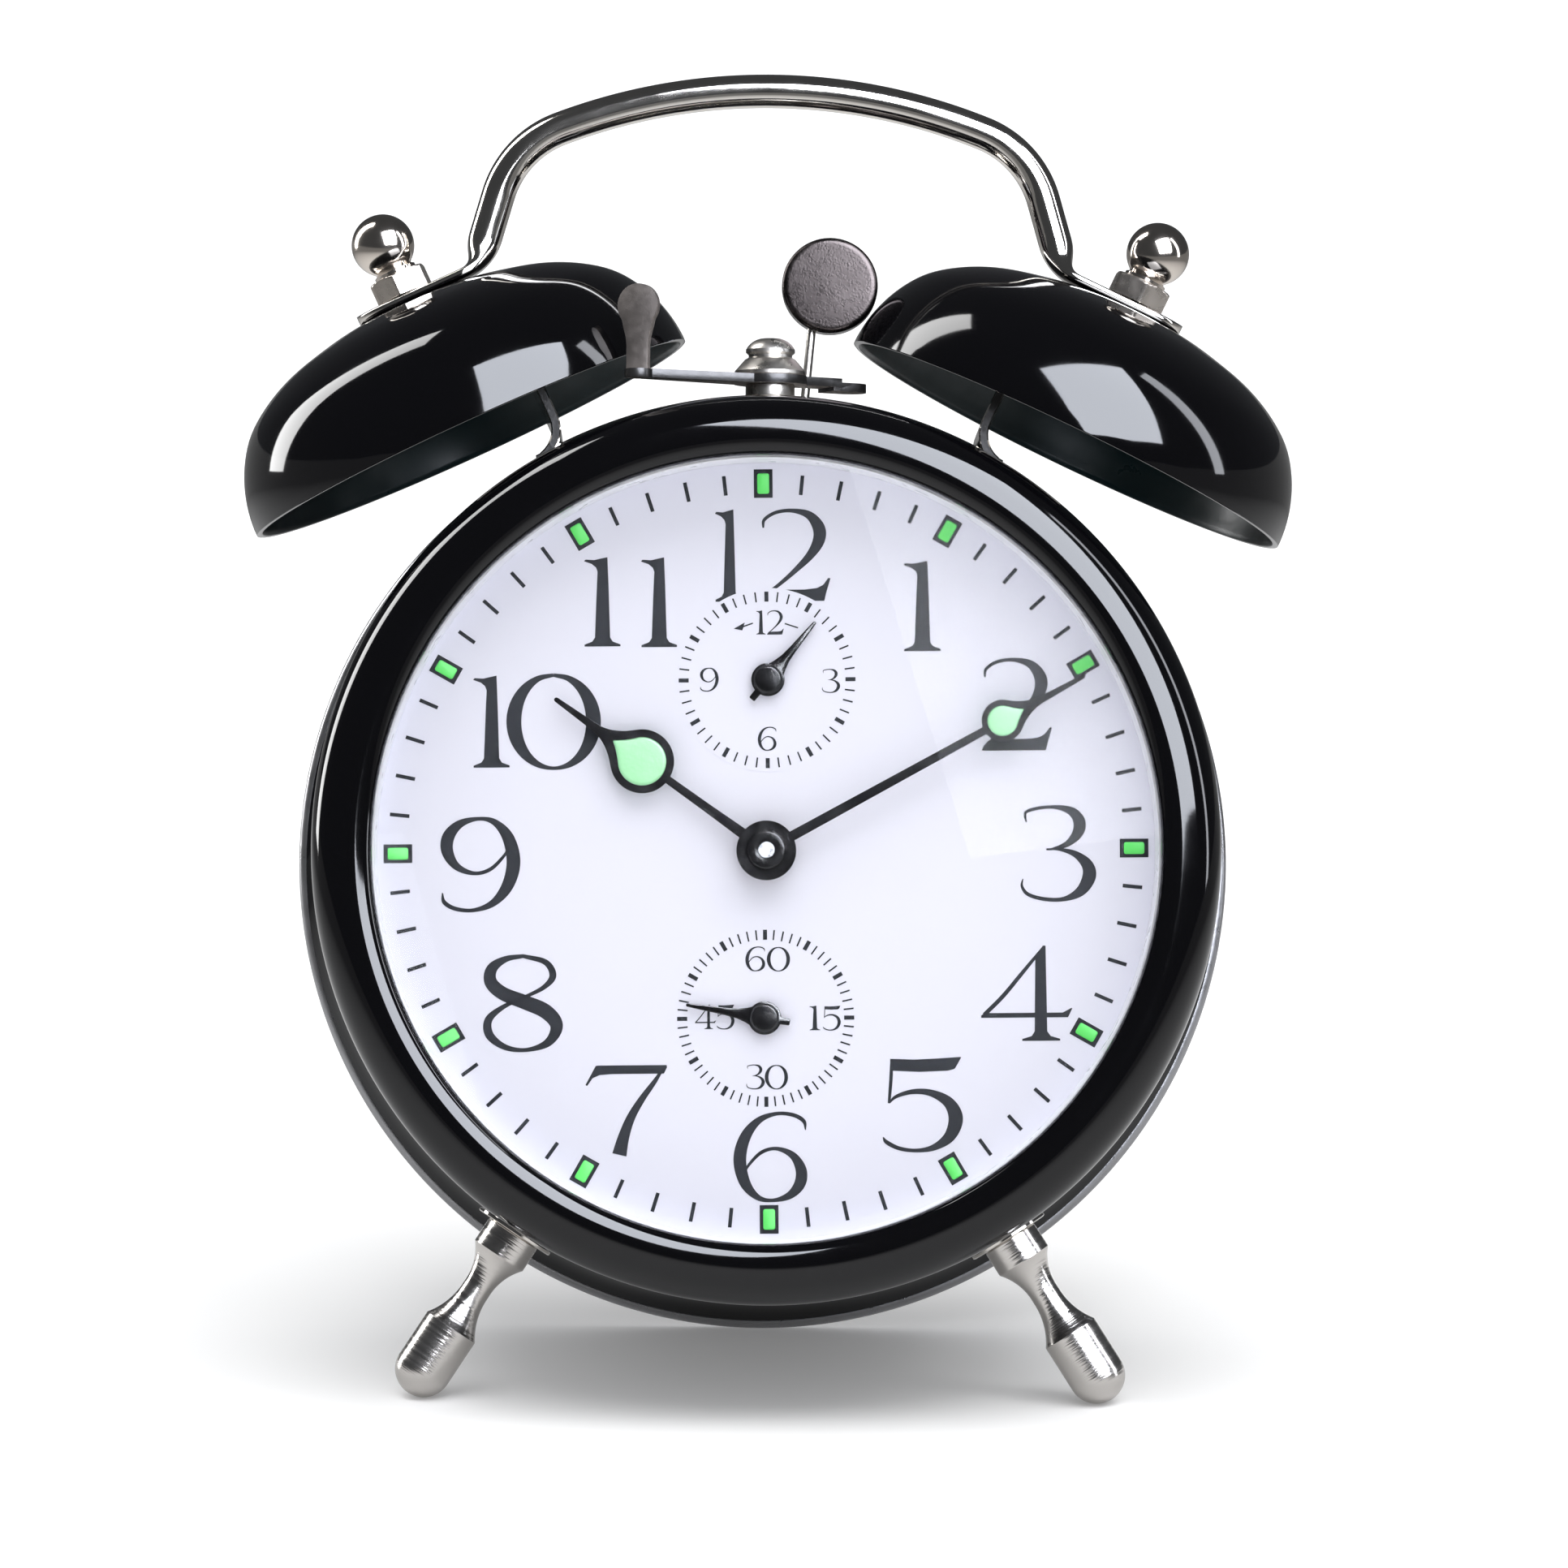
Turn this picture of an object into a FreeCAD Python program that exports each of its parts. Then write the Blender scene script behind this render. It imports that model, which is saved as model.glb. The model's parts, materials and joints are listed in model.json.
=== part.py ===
# Twin-bell wind-up alarm clock.
# Clock frame while modelling: +X to the right of the dial, +Y from the dial
# towards the back cover, +Z up the dial; the dial's front face is y = 0.
# The finished clock leans back on its two front feet and on the lower edge
# of its rear rim, so every piece gets the same leaning placement at the end.
import FreeCAD, Part
import math
import os

import Sketcher

V = FreeCAD.Vector
doc = FreeCAD.newDocument("TwinBellClock")
sheet = doc.addObject("Spreadsheet::Sheet", "Dims")
sheet.Label = "Dims"

DIMS = [
    # case, glass and dial
    ("bezelin", 48.9), ("bezelout", 56.55), ("bezellip", -6.6), ("bezeltop", -9.6),
    ("bezelshoulder", -4.6), ("bezelback", 4.0), ("pressed", 0.7),
    ("lensrad", 51.2), ("lensfront", -6.0), ("lensback", -4.5),
    ("spacerin", 48.35), ("spacerlip", 48.75), ("spacerout", 54.6),
    ("dialrad", 54.8), ("dialthick", 0.5),
    ("drumnose", 55.7), ("drumrad", 56.2), ("drumstep", 4.2), ("drumflare", 38.5),
    ("drumrear", 59.0), ("drumback", 45.6), ("drumwall", 0.7),
    ("rimrad", 60.0), ("rimbead", 1.0), ("rimy", 47.0), ("covery", 46.4),
    ("coverthick", 0.9),
    # bells and their bracket
    ("bellx", 37.8), ("bellz", 52.9), ("belly", 24.0), ("belltilt", 25.2),
    ("bellrad", 30.0), ("bellhigh", 18.8), ("bellwall", 0.9), ("studrad", 2.0),
    ("strapin", 56.4), ("strapthick", 1.2), ("strapfront", 7.0), ("strapback", 33.0),
    ("strapspan", 27.2), ("padlevel", 8.6),
    # handle and its fasteners
    ("tubedia", 4.3), ("archtop", 97.8), ("archrad", 74.0), ("archhalf", 21.4),
    ("cornerrad", 13.0), ("legslope", 74.0), ("tabthick", 1.35), ("tabwide", 8.4),
    ("nutflats", 7.0), ("nuthigh", 2.85), ("ballrad", 4.0), ("balllevel", 27.2),
    # feet
    ("footangle", 33.0), ("footy", 10.5), ("footrad", 3.6), ("waistrad", 1.75),
    ("foottop", 57.1), ("foottip", 81.1),
    # stop lever and hammer
    ("posty", 10.0), ("leverlow", 59.1), ("leverthick", 1.1), ("coneflare", 4.5),
    ("postrad", 3.1), ("posttop", 64.9), ("paddlex", -16.6), ("paddley", 1.3),
    ("hammerrad", 6.1), ("hammerthick", 4.6), ("hammerx", 7.6), ("hammerz", 72.9),
    ("arborx", 2.6), ("arborz", 36.0), ("rodrad", 0.55),
    # movement
    ("platerad", 42.0), ("platefront", 7.0), ("platethick", 1.2), ("plateback", 34.0),
    ("pillarrad", 2.5), ("pillarcircle", 38.0),
    ("centrerad", 1.0), ("fine", 0.05),
    ("alarmz", 21.3), ("secondz", -20.8),
    ("timex", 17.5), ("timez", 7.0), ("bellworkx", -19.0), ("bellworkz", 8.0),
    ("springlow", 18.2), ("springhigh", 31.6),
    # hands
    ("hourlong", 32.4), ("minutelong", 45.2), ("secondlong", 9.9), ("alarmlong", 9.3),
    ("hourlevel", -1.9), ("minutelevel", -3.0), ("smalllevel", -1.0), ("handthick", 0.35),
    # winding keys and rear knobs
    ("keystart", 48.7), ("keylong", 7.0), ("keywide", 22.0), ("knobrad", 5.2),
]


class Q:
    """A size that carries both its value and its spreadsheet expression."""

    def __init__(self, value, expr):
        self.v = float(value)
        self.e = expr

    def _bin(self, other, op, fn, swap=False):
        o = other if isinstance(other, Q) else Q(other, "%.6g" % other)
        a, b = (o, self) if swap else (self, o)
        return Q(fn(a.v, b.v), "(%s %s %s)" % (a.e, op, b.e))

    def __add__(self, o):
        return self._bin(o, "+", lambda a, b: a + b)

    def __radd__(self, o):
        return self._bin(o, "+", lambda a, b: a + b, True)

    def __sub__(self, o):
        return self._bin(o, "-", lambda a, b: a - b)

    def __rsub__(self, o):
        return self._bin(o, "-", lambda a, b: a - b, True)

    def __mul__(self, o):
        return self._bin(o, "*", lambda a, b: a * b)

    def __rmul__(self, o):
        return self._bin(o, "*", lambda a, b: a * b, True)

    def __truediv__(self, o):
        return self._bin(o, "/", lambda a, b: a / b)

    def __neg__(self):
        return Q(-self.v, "(0 - %s)" % self.e)


class Sizes:
    pass


S = Sizes()
for row, (alias, value) in enumerate(DIMS, start=1):
    sheet.set("A%d" % row, alias)
    sheet.set("B%d" % row, "%g" % value)
    sheet.setAlias("B%d" % row, alias)
    setattr(S, alias, Q(value, "Dims." + alias))
doc.recompute()


def q(x):
    return x if isinstance(x, Q) else Q(x, "%.6g" % x)


PARTS = []          # (document object, label, local placement)


def keep(obj, label, local=None):
    obj.Label = label
    PARTS.append((obj, label, local or FreeCAD.Placement()))
    return obj


def scratch(obj, tag):
    obj.Label = "blank_" + tag
    return obj


# ---------------------------------------------------------------- sketches
def origin_plane(body, role):
    for f in body.Origin.OriginFeatures:
        if f.Role == role:
            return f
    raise ValueError(role)


def new_sketch(body, name, role, offset=None):
    sk = body.newObject("Sketcher::SketchObject", name)
    sk.AttachmentSupport = (origin_plane(body, role), [""])
    sk.MapMode = "FlatFace"
    if offset is not None:
        off = q(offset)
        sk.AttachmentOffset = FreeCAD.Placement(V(0, 0, off.v), FreeCAD.Rotation())
        sk.setExpression("AttachmentOffset.Base.z", off.e)
    return sk


def pin_point(sk, geo, pos, x, y):
    """Fix one sketch point at sheet-driven coordinates."""
    for val, kind, axis in ((q(x), "DistanceX", -2), (q(y), "DistanceY", -1)):
        if abs(val.v) < 1e-9:
            sk.addConstraint(Sketcher.Constraint("PointOnObject", geo, pos, axis))
        else:
            i = sk.addConstraint(Sketcher.Constraint(kind, -1, 1, geo, pos, val.v))
            sk.setExpression("Constraints[%d]" % i, val.e)


def closed_profile(sk, start, steps):
    """start = (x, y); each step is (x, y) for a line or (mx, my, x, y) for an
    arc through a middle point. The last step has to come back to start."""
    geos = []
    here = (q(start[0]), q(start[1]))
    first = here
    todo = list(steps)
    last = todo[-1]
    if abs(q(last[-2]).v - first[0].v) > 1e-9 or abs(q(last[-1]).v - first[1].v) > 1e-9:
        todo.append(first)
    begins = []
    for st in todo:
        end = (q(st[-2]), q(st[-1]))
        a = V(here[0].v, here[1].v, 0)
        b = V(end[0].v, end[1].v, 0)
        if len(st) == 2:
            g = sk.addGeometry(Part.LineSegment(a, b), False)
            geos.append((g, 1, 2))
        else:
            mid = V(q(st[0]).v, q(st[1]).v, 0)
            k1 = (mid.x ** 2 + mid.y ** 2 - a.x ** 2 - a.y ** 2) / 2
            k2 = (b.x ** 2 + b.y ** 2 - a.x ** 2 - a.y ** 2) / 2
            dd = (mid.x - a.x) * (b.y - a.y) - (b.x - a.x) * (mid.y - a.y)
            cen = V((k1 * (b.y - a.y) - k2 * (mid.y - a.y)) / dd,
                    ((mid.x - a.x) * k2 - (b.x - a.x) * k1) / dd, 0)
            rad = cen.distanceToPoint(a)
            ta = math.atan2(a.y - cen.y, a.x - cen.x)
            tb = math.atan2(b.y - cen.y, b.x - cen.x)
            tm = math.atan2(mid.y - cen.y, mid.x - cen.x)
            ccw = (tm - ta) % (2 * math.pi) < (tb - ta) % (2 * math.pi)
            t0, t1 = (ta, tb) if ccw else (tb, ta)
            t1 = t0 + (t1 - t0) % (2 * math.pi)
            base = Part.Circle(V(cen.x, cen.y, 0), V(0, 0, 1), rad)
            g = sk.addGeometry(Part.ArcOfCircle(base, t0, t1), False)
            geos.append((g, 1, 2) if ccw else (g, 2, 1))
            if abs(b.x - a.x) > abs(b.y - a.y):
                sk.addConstraint(Sketcher.Constraint("DistanceY", -1, 1, g, 3, cen.y))
            else:
                sk.addConstraint(Sketcher.Constraint("DistanceX", -1, 1, g, 3, cen.x))
        begins.append(here)
        here = end
    n = len(geos)
    for i in range(n):
        g, s, e = geos[i]
        g2, s2, e2 = geos[(i + 1) % n]
        sk.addConstraint(Sketcher.Constraint("Coincident", g, e, g2, s2))
    for i in range(n):
        g, s, e = geos[i]
        pin_point(sk, g, s, begins[i][0], begins[i][1])


def circle(sk, x, y, r):
    r = q(r)
    g = sk.addGeometry(Part.Circle(V(q(x).v, q(y).v, 0), V(0, 0, 1), r.v), False)
    i = sk.addConstraint(Sketcher.Constraint("Radius", g, r.v))
    sk.setExpression("Constraints[%d]" % i, r.e)
    if abs(q(x).v) < 1e-9 and abs(q(y).v) < 1e-9:
        sk.addConstraint(Sketcher.Constraint("Coincident", g, 3, -1, 1))
    else:
        pin_point(sk, g, 3, x, y)


def turned(label, start, steps, role="XY_Plane", local=None, export=True):
    """A turned or spun piece: an (r, axial) profile swept about the axial axis."""
    body = doc.addObject("PartDesign::Body", label + "_body")
    sk = new_sketch(body, label + "_section", role)
    closed_profile(sk, start, steps)
    rev = body.newObject("PartDesign::Revolution", label + "_turn")
    rev.Profile = sk
    rev.ReferenceAxis = (sk, ["V_Axis"])
    rev.Angle = 360.0
    if export:
        keep(body, label, local)
    else:
        scratch(body, label)
    return body


def stamped(label, y0, y1, draw, export=True, local=None):
    """A piece cut from sheet: its outline lies across Y, from y0 to y1."""
    body = doc.addObject("PartDesign::Body", label + "_body")
    sk = new_sketch(body, label + "_outline", "XZ_Plane", -q(y1))
    draw(sk)
    pad = body.newObject("PartDesign::Pad", label + "_pad")
    pad.Profile = sk
    span = q(y1) - q(y0)
    pad.Length = span.v
    pad.setExpression("Length", span.e)
    if export:
        keep(body, label, local)
    else:
        scratch(body, label)
    return body


def pocket(body, label, offset, draw, role="XZ_Plane", length=None):
    """Cut a sketched outline right through, in whichever direction has metal."""
    doc.recompute()
    before = body.Shape.Volume
    sk = new_sketch(body, label + "_cutline", role, offset)
    draw(sk)
    cut = body.newObject("PartDesign::Pocket", label + "_cut")
    cut.Profile = sk
    if length is None:
        cut.Type = 1
    else:
        cut.Length = q(length).v
        cut.setExpression("Length", q(length).e)
    doc.recompute()
    if abs(before - body.Shape.Volume) < 1e-6:
        cut.Reversed = not cut.Reversed
        doc.recompute()
    if abs(before - body.Shape.Volume) < 1e-6:
        raise RuntimeError("pocket cuts nothing: " + label)
    return cut


ALONG_Y = FreeCAD.Rotation(V(1, 0, 0), -90)


def rod_y(tag, x, z, r, y0, y1):
    """Part cylinder lying along +Y."""
    c = doc.addObject("Part::Cylinder", tag)
    c.Radius = q(r).v
    c.setExpression("Radius", q(r).e)
    hgt = q(y1) - q(y0)
    c.Height = hgt.v
    c.setExpression("Height", hgt.e)
    c.Placement = FreeCAD.Placement(V(q(x).v, q(y0).v, q(z).v), ALONG_Y)
    return scratch(c, tag)


def fused(label, items, export=True, local=None):
    f = doc.addObject("Part::MultiFuse", label + "_fuse")
    f.Shapes = items
    return keep(f, label, local) if export else scratch(f, label)


def cut(label, base, tool, export=True, local=None):
    c = doc.addObject("Part::Cut", label + "_cut")
    c.Base = base
    c.Tool = tool
    return keep(c, label, local) if export else scratch(c, label)


def feature(label, shape, local=None):
    f = doc.addObject("Part::Feature", label + "_form")
    f.Shape = shape
    return keep(f, label, local or FreeCAD.Placement(f.Placement))


# ---------------------------------------------------------------- shape tools
def cyl(x, z, r, y0, y1):
    return Part.makeCylinder(r, y1 - y0, V(x, y0, z), V(0, 1, 0))


def slab(pts, y0, y1):
    wire = Part.makePolygon([V(x, y0, z) for x, z in pts] + [V(pts[0][0], y0, pts[0][1])])
    return Part.Face(wire).extrude(V(0, y1 - y0, 0))


def union(shapes):
    out = shapes[0]
    for s in shapes[1:]:
        out = out.fuse(s)
    return out.removeSplitter()


def tooth_outline(n, m, mate, phase, share, root, cap, pinion=False):
    """Cycloidal clock teeth. phase is the angle of one tooth's centre line."""
    R = n * m / 2.0
    half = share * math.pi / n
    flank = [(R, half)]
    if pinion:
        flank += [(R + 0.30 * cap * m, half * 0.93), (R + 0.65 * cap * m, half * 0.72),
                  (R + 0.90 * cap * m, half * 0.40)]
        tip = R + cap * m
    else:
        rho = mate * m / 4.0
        tip = R + cap * m
        last = half
        for k in range(1, 60):
            t = k * 0.012 * 20.0 / n
            ex = (R + rho) * math.cos(t) - rho * math.cos((R + rho) / rho * t)
            ey = (R + rho) * math.sin(t) - rho * math.sin((R + rho) / rho * t)
            rad = math.hypot(ex, ey)
            lean = half - math.atan2(ey, ex)
            if lean <= 0.08 * half or rad >= R + cap * m:
                tip = rad
                last = max(lean, 0.06 * half)
                break
            if rad > flank[-1][0] + 0.30 * m:
                flank.append((rad, lean))
        flank.append((tip, last))
    pts = []
    for i in range(n):
        c = phase + 2 * math.pi * i / n
        pts.append((root, c - half))
        for rad, a in flank:
            pts.append((rad, c - a))
        if pinion:
            pts.append((tip, c))
        for rad, a in reversed(flank):
            pts.append((rad, c + a))
        pts.append((root, c + half))
    return [(r * math.cos(a), r * math.sin(a)) for r, a in pts]


def wheel(cx, cz, n, m, mate, phase, y0, y1, share=0.44, cap=1.25, ded=1.15, windows=5):
    R = n * m / 2.0
    pts = tooth_outline(n, m, mate, phase, share, R - ded * m, cap)
    body = slab([(cx + x, cz + z) for x, z in pts], y0, y1)
    if windows:
        for i in range(windows):
            a = phase + 2 * math.pi * (i + 0.5) / windows
            body = body.cut(cyl(cx + 0.60 * R * math.cos(a), cz + 0.60 * R * math.sin(a),
                                0.24 * R, y0 - 1, y1 + 1))
    return body


def pinion(cx, cz, n, m, phase, y0, y1, share=0.38, cap=0.75, ded=1.72):
    R = n * m / 2.0
    pts = tooth_outline(n, m, n, phase, share, R - ded * m, cap, pinion=True)
    return slab([(cx + x, cz + z) for x, z in pts], y0, y1)


def spiral(cx, cz, r0, r1, turns, thick, y0, y1, start=0.0, per=22):
    """A coiled flat spring as one closed strip."""
    n = int(turns * per)
    inner, outer = [], []
    for i in range(n + 1):
        a = start + 2 * math.pi * turns * i / n
        r = r0 + (r1 - thick - r0) * i / n
        inner.append((cx + r * math.cos(a), cz + r * math.sin(a)))
        outer.append((cx + (r + thick) * math.cos(a), cz + (r + thick) * math.sin(a)))
    return slab(inner + outer[::-1], y0, y1)


def hexagon(cx, cz, flats, turn=0.0):
    c = flats / math.sqrt(3.0)
    return [(cx + c * math.cos(turn + math.pi * k / 3), cz + c * math.sin(turn + math.pi * k / 3))
            for k in range(6)]


def hex_z(flats, z0, z1, hole=0.0, turn=0.0):
    """Hexagonal nut about the local Z axis, its corners turned away on top."""
    c = flats / math.sqrt(3.0)
    pts = [V(c * math.cos(turn + math.pi * k / 3), c * math.sin(turn + math.pi * k / 3), z0)
           for k in range(6)]
    nut = Part.Face(Part.makePolygon(pts + [pts[0]])).extrude(V(0, 0, z1 - z0))
    crown = Part.makeCone(c + (z1 - z0) * 1.73 - 0.55, c - 0.55, z1 - z0, V(0, 0, z0))
    nut = nut.common(crown)
    if hole:
        nut = nut.cut(Part.makeCylinder(hole, z1 - z0 + 2, V(0, 0, z0 - 1)))
    return nut


# ================================================================= the case
t = S.pressed
# pressed and lacquered bezel: lip over the glass, full round nose, plain skirt
turned("front_bezel", (S.bezelin, S.bezellip), [
    (52.15, S.bezeltop, S.bezelout, S.bezelshoulder),
    (S.bezelout, S.bezelback),
    (S.bezelout - t, S.bezelback),
    (S.bezelout - t, S.bezelshoulder),
    (52.15, -8.85, S.bezelin + 0.75, S.lensfront),
    (S.bezelin, S.lensfront)])

turned("lens", (0, S.lensfront), [(S.lensrad, S.lensfront), (S.lensrad, S.lensback),
                                  (0, S.lensback)])

turned("dial_spacer_ring", (S.spacerlip, S.lensback), [
    (S.spacerout, S.lensback), (S.spacerout, 0), (S.spacerin, 0)])

dial = stamped("dial_plate", 0, S.dialthick, lambda sk: (
    circle(sk, 0, 0, S.dialrad), circle(sk, 0.0, 1e-12, 2.6),
    circle(sk, 0, S.alarmz, 1.2), circle(sk, 0, S.secondz, 1.2)))

# drum: nose inside the bezel, straight wall, flared rear edge
drum = turned("case_drum", (S.drumnose - S.drumwall, 0.0), [
    (S.drumnose, 0.0), (S.drumnose, S.drumstep), (S.drumrad, S.drumstep),
    (S.drumrad, S.drumflare),
    (S.drumrad + 0.55, S.drumflare + 3.4, S.drumrear, S.drumback),
    (S.drumrear - S.drumwall - 0.3, S.drumback),
    (S.drumrad - 0.1, S.drumflare + 4.0, S.drumrad - S.drumwall, S.drumflare),
    (S.drumrad - S.drumwall, S.drumstep + S.drumwall),
    (S.drumnose - S.drumwall, S.drumstep + S.drumwall)], export=False)

# hammer slot and screw holes through the drum's wall
slot_tools = []
b = doc.addObject("Part::Box", "hammer_slot")
b.Length, b.Width, b.Height = 12.4, 3.0, 12.0
b.Placement = FreeCAD.Placement(V(-6.2, S.belly.v - 1.5, 50.0), FreeCAD.Rotation())
slot_tools.append(scratch(b, "hammer_slot"))
c = doc.addObject("Part::Cylinder", "post_hole")
c.Radius, c.Height = 1.5, 10.0
c.Placement = FreeCAD.Placement(V(0, S.posty.v, 50.0), FreeCAD.Rotation())
slot_tools.append(scratch(c, "post_hole"))
for side in (-1, 1):
    c = doc.addObject("Part::Cylinder", "foot_hole")
    c.Radius, c.Height = 1.5, 10.0
    a = math.radians(S.footangle.v)
    d = V(side * math.sin(a), 0, -math.cos(a))
    c.Placement = FreeCAD.Placement(d * 50.0 + V(0, S.footy.v, 0), FreeCAD.Rotation(V(0, 0, 1), d))
    slot_tools.append(scratch(c, "foot_hole"))
cut("case_drum", drum, fused("drum_openings", slot_tools, export=False))

# rear cover: flat disc with a rolled bead for a rim
cover = turned("rear_cover", (0, S.covery), [
    (S.rimrad - 2 * S.rimbead, S.covery),
    (S.rimrad - S.rimbead * 1.7071, S.rimy - S.rimbead * 0.7071,
     S.rimrad - S.rimbead, S.rimy - S.rimbead),
    (S.rimrad, S.rimy, S.rimrad - S.rimbead, S.rimy + S.rimbead),
    (S.rimrad - S.rimbead * 1.7071, S.rimy + S.rimbead * 0.7071,
     S.rimrad - 2 * S.rimbead, S.covery + S.coverthick),
    (0, S.covery + S.coverthick)], export=False)
pc = S.pillarcircle.v * math.sqrt(0.5)
PILLARS = [(pc, pc), (-pc, pc), (-pc, -pc), (pc, -pc)]
BALANCE = (22.0, -17.0)
holes = [(S.timex, S.timez, 2.6), (S.bellworkx, S.bellworkz, 2.6), (0, 0, 2.6),
         (0, S.alarmz, 2.6)] + [(x, z, 1.25) for x, z in PILLARS]
for k in range(7):
    a = math.radians(205 + 11 * k)
    holes.append((47.5 * math.cos(a), 47.5 * math.sin(a), 1.6))
tools = [rod_y("cover_hole", x, z, r, 40.0, 52.0) for x, z, r in holes]
# curved slot for the regulator lever
slot = doc.addObject("Part::Feature", "regulator_slot")
arcs = []
for k in range(-6, 7):
    a = math.radians(-25 + 4.2 * k)
    arcs.append(cyl(BALANCE[0] + 9.5 * math.cos(a), BALANCE[1] + 9.5 * math.sin(a), 1.3, 40.0, 52.0))
slot.Shape = union(arcs)
scratch(slot, "regulator_slot")
cut("rear_cover", cover, fused("cover_openings", tools + [slot], export=False))

# ================================================================= bells
TILT = math.radians(S.belltilt.v)


def bell_place(side):
    return FreeCAD.Placement(V(side * S.bellx.v, S.belly.v, S.bellz.v),
                             FreeCAD.Rotation(V(0, 1, 0), side * S.belltilt.v))


def spun(start, steps):
    """Solid of revolution about Z from an (r, z) outline of lines and arcs."""
    here = V(start[0], 0, start[1])
    first = here
    edges = []
    for st in list(steps) + [start]:
        end = V(st[-2], 0, st[-1])
        if (end - here).Length < 1e-9:
            continue
        if len(st) == 4:
            edges.append(Part.Arc(here, V(st[0], 0, st[1]), end).toShape())
        else:
            edges.append(Part.LineSegment(here, end).toShape())
        here = end
    face = Part.Face(Part.Wire(edges))
    return face.revolve(V(0, 0, 0), V(0, 0, 1), 360)


w = S.bellwall.v
br, bh = S.bellrad.v, S.bellhigh.v
for side, name in ((-1, "left_bell"), (1, "right_bell")):
    bell = spun((br, 0), [
        (br - 1.05, 6.2, br - 4.55, bh - 6.75),
        (br - 9.4, bh - 3.5, br - 15.6, bh - 1.4),
        (br - 19.8, bh - 0.42, br - 24.0, bh),
        (S.studrad.v + 0.05, bh),
        (S.studrad.v + 0.05, bh - w),
        (br - 24.0, bh - w),
        (br - 19.9, bh - 0.43 - w, br - 15.8, bh - 1.4 - w),
        (br - 9.95, bh - 3.5 - 0.72 * w, br - 5.25, bh - 7.3),
        (br - 1.05 - w, 6.0, br - w, 0)])
    bell.Placement = bell_place(side)
    feature(name, bell)

# bracket: a strap over the drum whose ends rise into the bells and turn out
# into flat pads under the crowns
pitch_r = S.strapin.v + S.strapthick.v / 2.0
span = math.radians(S.strapspan.v)
ax = (math.sin(TILT), math.cos(TILT))             # right bell axis (x, z)
lat = (math.cos(TILT), -math.sin(TILT))           # outward, square to the axis
centre = (S.bellx.v, S.bellz.v)


def on_bell(s, a):
    return (centre[0] + s * lat[0] + a * ax[0], centre[1] + s * lat[1] + a * ax[1])


ring_end = (pitch_r * math.sin(span), pitch_r * math.cos(span))
arm_s = -10.3
corner_low = on_bell(arm_s, -2.0)
corner_high = on_bell(arm_s, S.padlevel.v)
pad_end = on_bell(6.5, S.padlevel.v)
# the straight run off the ring is tangent to it and meets the arm's line
tx, tz = math.cos(span), -math.sin(span)
det = tx * (-ax[1]) - tz * (-ax[0])
dx, dz = corner_low[0] - ring_end[0], corner_low[1] - ring_end[1]
run = (dx * (-ax[1]) - dz * (-ax[0])) / det
knee = (ring_end[0] + run * tx, ring_end[1] + run * tz)


def round_corner(p, c, n, r):
    """Tangent points and middle of an arc of radius r at corner c."""
    u = V(p[0] - c[0], 0, p[1] - c[1]).normalize()
    v = V(n[0] - c[0], 0, n[1] - c[1]).normalize()
    ang = u.getAngle(v)
    d = r / math.tan(ang / 2)
    C = V(c[0], 0, c[1])
    mid_dir = (u + v).normalize()
    o = C + mid_dir * (r / math.sin(ang / 2))
    return C + u * d, o - mid_dir * r, C + v * d


k1 = round_corner(ring_end, knee, corner_high, 4.2)
k2 = round_corner(knee, corner_high, pad_end, 2.4)
E1 = V(ring_end[0], 0, ring_end[1])
E2 = V(pad_end[0], 0, pad_end[1])
half_path = []
if (k1[0] - E1).Length > 1e-3 and run > 0:
    half_path.append(Part.LineSegment(E1, k1[0]).toShape())
    half_path.append(Part.Arc(k1[0], k1[1], k1[2]).toShape())
else:
    half_path.append(Part.LineSegment(E1, k1[0]).toShape())
    half_path.append(Part.Arc(k1[0], k1[1], k1[2]).toShape())
half_path.append(Part.LineSegment(k1[2], k2[0]).toShape())
half_path.append(Part.Arc(k2[0], k2[1], k2[2]).toShape())
half_path.append(Part.LineSegment(k2[2], E2).toShape())


def thick_line(edges, th, y0, y1):
    """A flat strip of the given thickness along edges in the XZ plane."""
    solids = []
    for e in edges:
        a = e.valueAt(e.FirstParameter)
        b2 = e.valueAt(e.LastParameter)
        ta = e.tangentAt(e.FirstParameter).normalize()
        tb = e.tangentAt(e.LastParameter).normalize()
        na = V(-ta.z, 0, ta.x) * (th / 2)
        nb = V(-tb.z, 0, tb.x) * (th / 2)
        c = e.Curve
        if isinstance(c, Part.Circle):
            m = e.valueAt((e.FirstParameter + e.LastParameter) / 2)
            tm = e.tangentAt((e.FirstParameter + e.LastParameter) / 2).normalize()
            nm = V(-tm.z, 0, tm.x) * (th / 2)
            w4 = Part.Wire([Part.Arc(a + na, m + nm, b2 + nb).toShape(),
                            Part.LineSegment(b2 + nb, b2 - nb).toShape(),
                            Part.Arc(b2 - nb, m - nm, a - na).toShape(),
                            Part.LineSegment(a - na, a + na).toShape()])
        else:
            w4 = Part.makePolygon([a + na, b2 + nb, b2 - nb, a - na, a + na])
        f = Part.Face(w4)
        f.translate(V(0, y0, 0))
        solids.append(f.extrude(V(0, y1 - y0, 0)))
    return solids


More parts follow.
